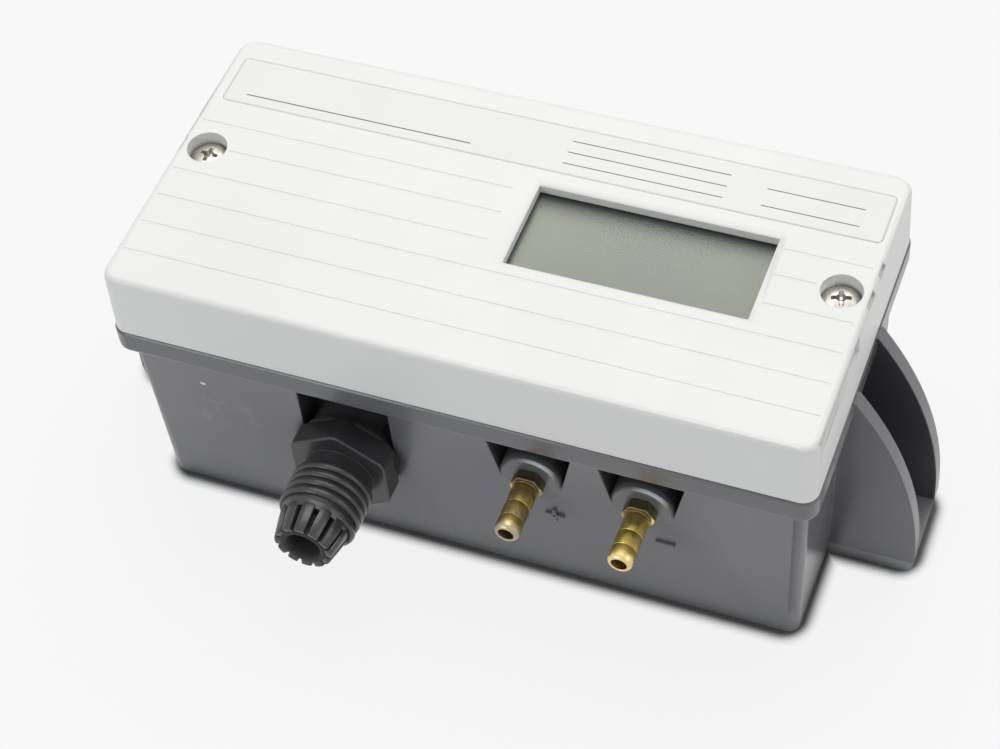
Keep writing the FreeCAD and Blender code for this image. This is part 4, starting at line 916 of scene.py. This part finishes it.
def makeGlandBarrel():
    # neck, thread root, smooth band behind the fingers, and the bore inside them
    v = glandValues
    back, neck, root = v["backRadius"], v["neckRadius"], v["threadRoot"]
    band, bore = v["bandRadius"], v["bore"]
    rings = [(back, -v["backDepth"]), (back, 0.0), (neck, 0.0), (neck, v["neckEnd"] - 0.5),
             (root, v["neckEnd"]), (root, v["threadEnd"]),
             (band + 0.1, v["threadEnd"] + 0.15), (band, v["threadEnd"] + 0.6),
             (band - 0.25, v["bandEnd"]), (bore + 0.6, v["bandEnd"] + 0.1), (bore, v["bandEnd"] + 0.1),
             (bore, v["boreDepth"])]
    piece = turnedPiece("glandBarrel", glandSeat, rings, segments=72)
    return settle(piece, 30)


def makeGlandThread():
    v = glandValues
    clearSelection()
    start = glandSeat + Vector((0, -v["threadStart"] * mm, 0))
    bpy.ops.mesh.primitive_circle_add(vertices=v["beadSides"], radius=v["beadHalfWidth"] * mm,
                                      location=start, rotation=(0, math.pi / 2, 0))
    piece = bpy.context.object
    piece.name = "glandThread"
    bpy.ops.object.transform_apply(location=False, rotation=True, scale=False)
    editMesh(piece)
    flatten = v["beadHalfHeight"] / v["beadHalfWidth"]
    bpy.ops.transform.resize(value=(1, 1, flatten), center_override=start)
    rise = v["threadCrest"] - v["beadHalfHeight"]
    bpy.ops.transform.translate(value=(0, 0, rise * mm))
    bpy.ops.object.mode_set(mode="OBJECT")
    screw = piece.modifiers.new("thread", "SCREW")
    screw.axis = "Y"
    screw.angle = -2 * math.pi
    screw.screw_offset = -v["pitch"] * mm
    screw.iterations = v["turns"]
    screw.steps = screw.render_steps = v["turnSteps"]
    applyModifiers(piece)
    last = v["turns"] * v["turnSteps"]
    for vertex in piece.data.vertices:
        step = vertex.index // v["beadSides"]
        share = min(step, last - step) / v["fadeSteps"]
        if share >= 1:
            continue
        radius = math.hypot(vertex.co.x, vertex.co.z)
        floor = v["fadeRadius"] * mm
        eased = share * share * (3 - 2 * share)
        shrink = (floor + (radius - floor) * eased) / radius
        vertex.co.x *= shrink
        vertex.co.z *= shrink
    return settle(piece, 60)


def makeGlandFingers():
    # one finger is shaped from a block, then copied round the axis
    v = glandValues
    length, height = v["fingerEnd"] - v["fingerStart"], v["fingerHeight"]
    place = glandSeat + Vector((0, -(v["fingerStart"] + v["fingerEnd"]) / 2, height)) * mm
    finger = startBlock(place, (v["fingerWidth"], length, v["fingerThick"]))
    finger.name = "glandFingers"
    bpy.ops.mesh.subdivide(number_cuts=1)
    bpy.ops.transform.rotate(value=math.radians(-v["fingerLean"]), orient_axis="X", center_override=place)
    bpy.ops.object.mode_set(mode="OBJECT")
    tip = place.y - (length / 2 - v["fingerTip"]) * mm
    for vertex in finger.data.vertices:
        where = vertex.co + place
        if where.y < tip:
            vertex.co.x *= v["tipNarrow"]
        if where.y < tip and vertex.co.z > 0:
            vertex.co.z -= v["tipDrop"] * mm
        # the outer face follows the round of the barrel
        vertex.co.z -= (vertex.co.x / mm) ** 2 / (2 * height) * mm
    bevel = finger.modifiers.new("soften", "BEVEL")
    bevel.width = v["fingerSoft"] * mm
    bevel.segments = 2
    bevel.limit_method = "ANGLE"
    applyModifiers(finger)
    settle(finger, 40)
    copies = []
    for number in range(v["fingerCount"]):
        activate(finger)
        bpy.ops.object.duplicate()
        copy = bpy.context.object
        editMesh(copy)
        bpy.ops.transform.rotate(value=2 * math.pi * number / v["fingerCount"], orient_axis="Y",
                                 center_override=glandSeat)
        bpy.ops.object.mode_set(mode="OBJECT")
        copies.append(copy)
    bpy.data.objects.remove(finger)
    return joinPieces(copies[0], copies[1:])


def makeGland():
    hexagon = bevelledHexagon("glandHex", glandSeat, glandValues)
    body = joinPieces(hexagon, [makeGlandBarrel(), makeGlandThread(), makeGlandFingers()])
    body.name = "glandBody"
    dress(body, "gland_body")
    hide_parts("gland_body")


sealValues = {"outer": 4.95, "bore": 3.4, "depth": 12.9, "boreDepth": 12.5, "closing": 0.3}


def makeGlandSeal():
    v = sealValues
    front = (glandSeat.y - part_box("gland_seal")[0][1]) / mm
    outer, bore = v["outer"], v["bore"]
    rings = [(outer, front - v["depth"]), (outer, front + 0.35), (outer - 0.2, front + 0.75),
             (outer - 0.55, front + 0.98), (bore + 0.55, front + 1.0), (bore + 0.15, front + 0.7),
             (bore, front - 0.4), (bore, front - v["boreDepth"]), (v["closing"], front - v["boreDepth"])]
    seal = settle(turnedPiece("glandSeal", glandSeat, rings, segments=56), 50)
    dress(seal, "gland_seal")
    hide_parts("gland_seal")


barbValues = {
    "hexRadius": 3.45, "hexStart": 0.0, "hexLength": 2.3, "hexTurn": 30, "hexCornerRound": 0.55,
    "hexCornerSteps": 3, "hexEdge": 0.22, "hexAngle": 25, "radius": 2.5, "swell": 0.06,
    "backRadii": (2.0, 2.6), "backDepth": 14.0, "boreDepth": 9.0,
    "groove": 2.3, "root": 2.36, "segments": [3.4, 6.7, 10.0, 13.3], "tipRadius": 1.95, "bore": 1.55,
    "names": {"high_port_barb": "highBarb", "low_port_barb": "lowBarb"},
    "metals": {"high_port_barb": "brassDull", "low_port_barb": "brass"},
}


def makeBarb(node):
    v = barbValues
    middle = nodeMiddle(node)
    total = v["segments"][-1]
    seat = Vector((middle.x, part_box(node)[0][1] + total * mm, middle.z))
    inner, outer = v["backRadii"]
    radius, groove, bore, tip = v["radius"], v["groove"], v["bore"], v["tipRadius"]
    rings = [(inner, -v["backDepth"]), (outer, -v["backDepth"]), (outer, 0.0), (v["root"], 0.0),
             (v["root"], v["segments"][0] - 0.75), (radius - 0.05, v["segments"][0] - 0.6)]
    for start, end in zip(v["segments"], v["segments"][1:]):
        rings += [(radius, start + 0.25), (radius + v["swell"], start + 1.3), (radius - 0.02, end - 0.75)]
        if end != total:
            rings += [(groove + 0.1, end - 0.12), (groove, end - 0.03), (radius - 0.02, end + 0.06)]
    depth = total - v["boreDepth"]
    rings += [(radius - 0.18, total - 0.42), (tip + 0.12, total - 0.1), (tip - 0.08, total),
              (bore + 0.08, total), (bore, total - 0.12), (bore, depth), (0.2, depth - 0.2)]
    stem = settle(turnedPiece(v["names"][node], seat, rings, segments=48), 26)
    collar = bevelledHexagon("collar", seat, v)
    barb = joinPieces(stem, [collar])
    dress(barb, node, v["metals"][node])
    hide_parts(node)


screwValues = {
    "headRadius": 3.66, "rim": 1.15, "top": 2.4, "shank": 1.85, "length": 19.9,
    "armLength": 4.3, "armWidth": 0.95, "recessDepth": 1.35, "taper": 0.55, "coneTop": 1.05, "coneLow": 0.45,
    "inset": 3.7, "turns": {"coverScrews": -4.0, "rightScrew": 15.0},
}


def cutAway(piece, cutter):
    cut = piece.modifiers.new("recess", "BOOLEAN")
    cut.operation = "DIFFERENCE"
    cut.solver = "EXACT"
    cut.object = cutter
    applyModifiers(piece)
    bpy.data.objects.remove(cutter)


def makeScrewArm(middle, turn):
    v = screwValues
    place = middle + Vector((0, 0, v["top"] - v["recessDepth"] / 2 + 0.1)) * mm
    arm = startBlock(place, (v["armLength"], v["armWidth"], v["recessDepth"] + 0.2))
    bpy.ops.object.mode_set(mode="OBJECT")
    for vertex in arm.data.vertices:
        if vertex.co.z < 0:
            vertex.co.x *= v["taper"]
            vertex.co.y *= v["taper"]
    editMesh(arm)
    bpy.ops.transform.rotate(value=math.radians(-turn), orient_axis="Z", center_override=place)
    bpy.ops.object.mode_set(mode="OBJECT")
    return settle(arm)


def makeScrewHead(name, middle, turn):
    v = screwValues
    head, rim, top = v["headRadius"], v["rim"], v["top"]
    rings = [(v["shank"], -v["length"]), (v["shank"], 0.0), (head, 0.0), (head, rim),
             (head - 0.08, rim + 0.3), (head - 0.35, rim + 0.62), (head - 0.9, rim + 0.88),
             (head - 1.8, top - 0.16), (head - 2.8, top - 0.03), (0.3, top)]
    screw = settle(turnedPiece(name, middle, rings, segments=56, upward=True), 40)
    for extra in (0, 90):
        cutAway(screw, makeScrewArm(middle, turn + extra))
    cone = [(v["coneLow"], top - v["recessDepth"] - 0.15), (v["coneTop"], top + 0.1)]
    cutAway(screw, settle(turnedPiece("cone", middle, cone, segments=20, upward=True)))
    return settle(screw, 30)


def makeCoverScrews():
    low, high = (Vector(corner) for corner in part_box("cover_screws"))
    v = screwValues
    middle = Vector((0, (low.y + high.y) / 2, high.z - v["top"] * mm))
    heads = []
    for name, across in (("coverScrews", low.x + v["inset"] * mm), ("rightScrew", high.x - v["inset"] * mm)):
        heads.append(makeScrewHead(name, Vector((across, middle.y, middle.z)), v["turns"][name]))
    screws = joinPieces(heads[0], heads[1:])
    dress(screws, "cover_screws")
    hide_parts("cover_screws")


markValues = {"shift": (4.3, -10.2), "size": 3.9, "stroke": 0.8, "proud": 0.22, "soft": 0.16,
              "depth": 1.0, "wall": 14.1}


def makeBar(place, width, height):
    bar = startBlock(place, (width, markValues["depth"], height))
    bpy.ops.mesh.bevel(offset=markValues["soft"] * mm, segments=2)
    bpy.ops.object.mode_set(mode="OBJECT")
    return settle(bar)


def makePortMarks():
    # a raised plus beside the high port and a minus beside the low one
    v = markValues
    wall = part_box("high_port_barb")[0][1] + v["wall"] * mm
    bars = []
    for node, upright in (("high_port_barb", True), ("low_port_barb", False)):
        middle = nodeMiddle(node)
        across, up = inMetres(v["shift"])
        place = Vector((middle.x + across, wall - v["proud"] / 2 * mm, middle.z + up))
        bars.append(makeBar(place, v["size"], v["stroke"]))
        if upright:
            bars.append(makeBar(place, v["stroke"], v["size"]))
    marks = joinPieces(bars[0], bars[1:])
    marks.name = "portMarks"
    dress(marks, "base_housing")


makeGland()
makeGlandSeal()
print("gland modelled")
for node in barbValues["names"]:
    makeBarb(node)
print("barbs modelled")
makeCoverScrews()
makePortMarks()
print("screws and marks modelled")
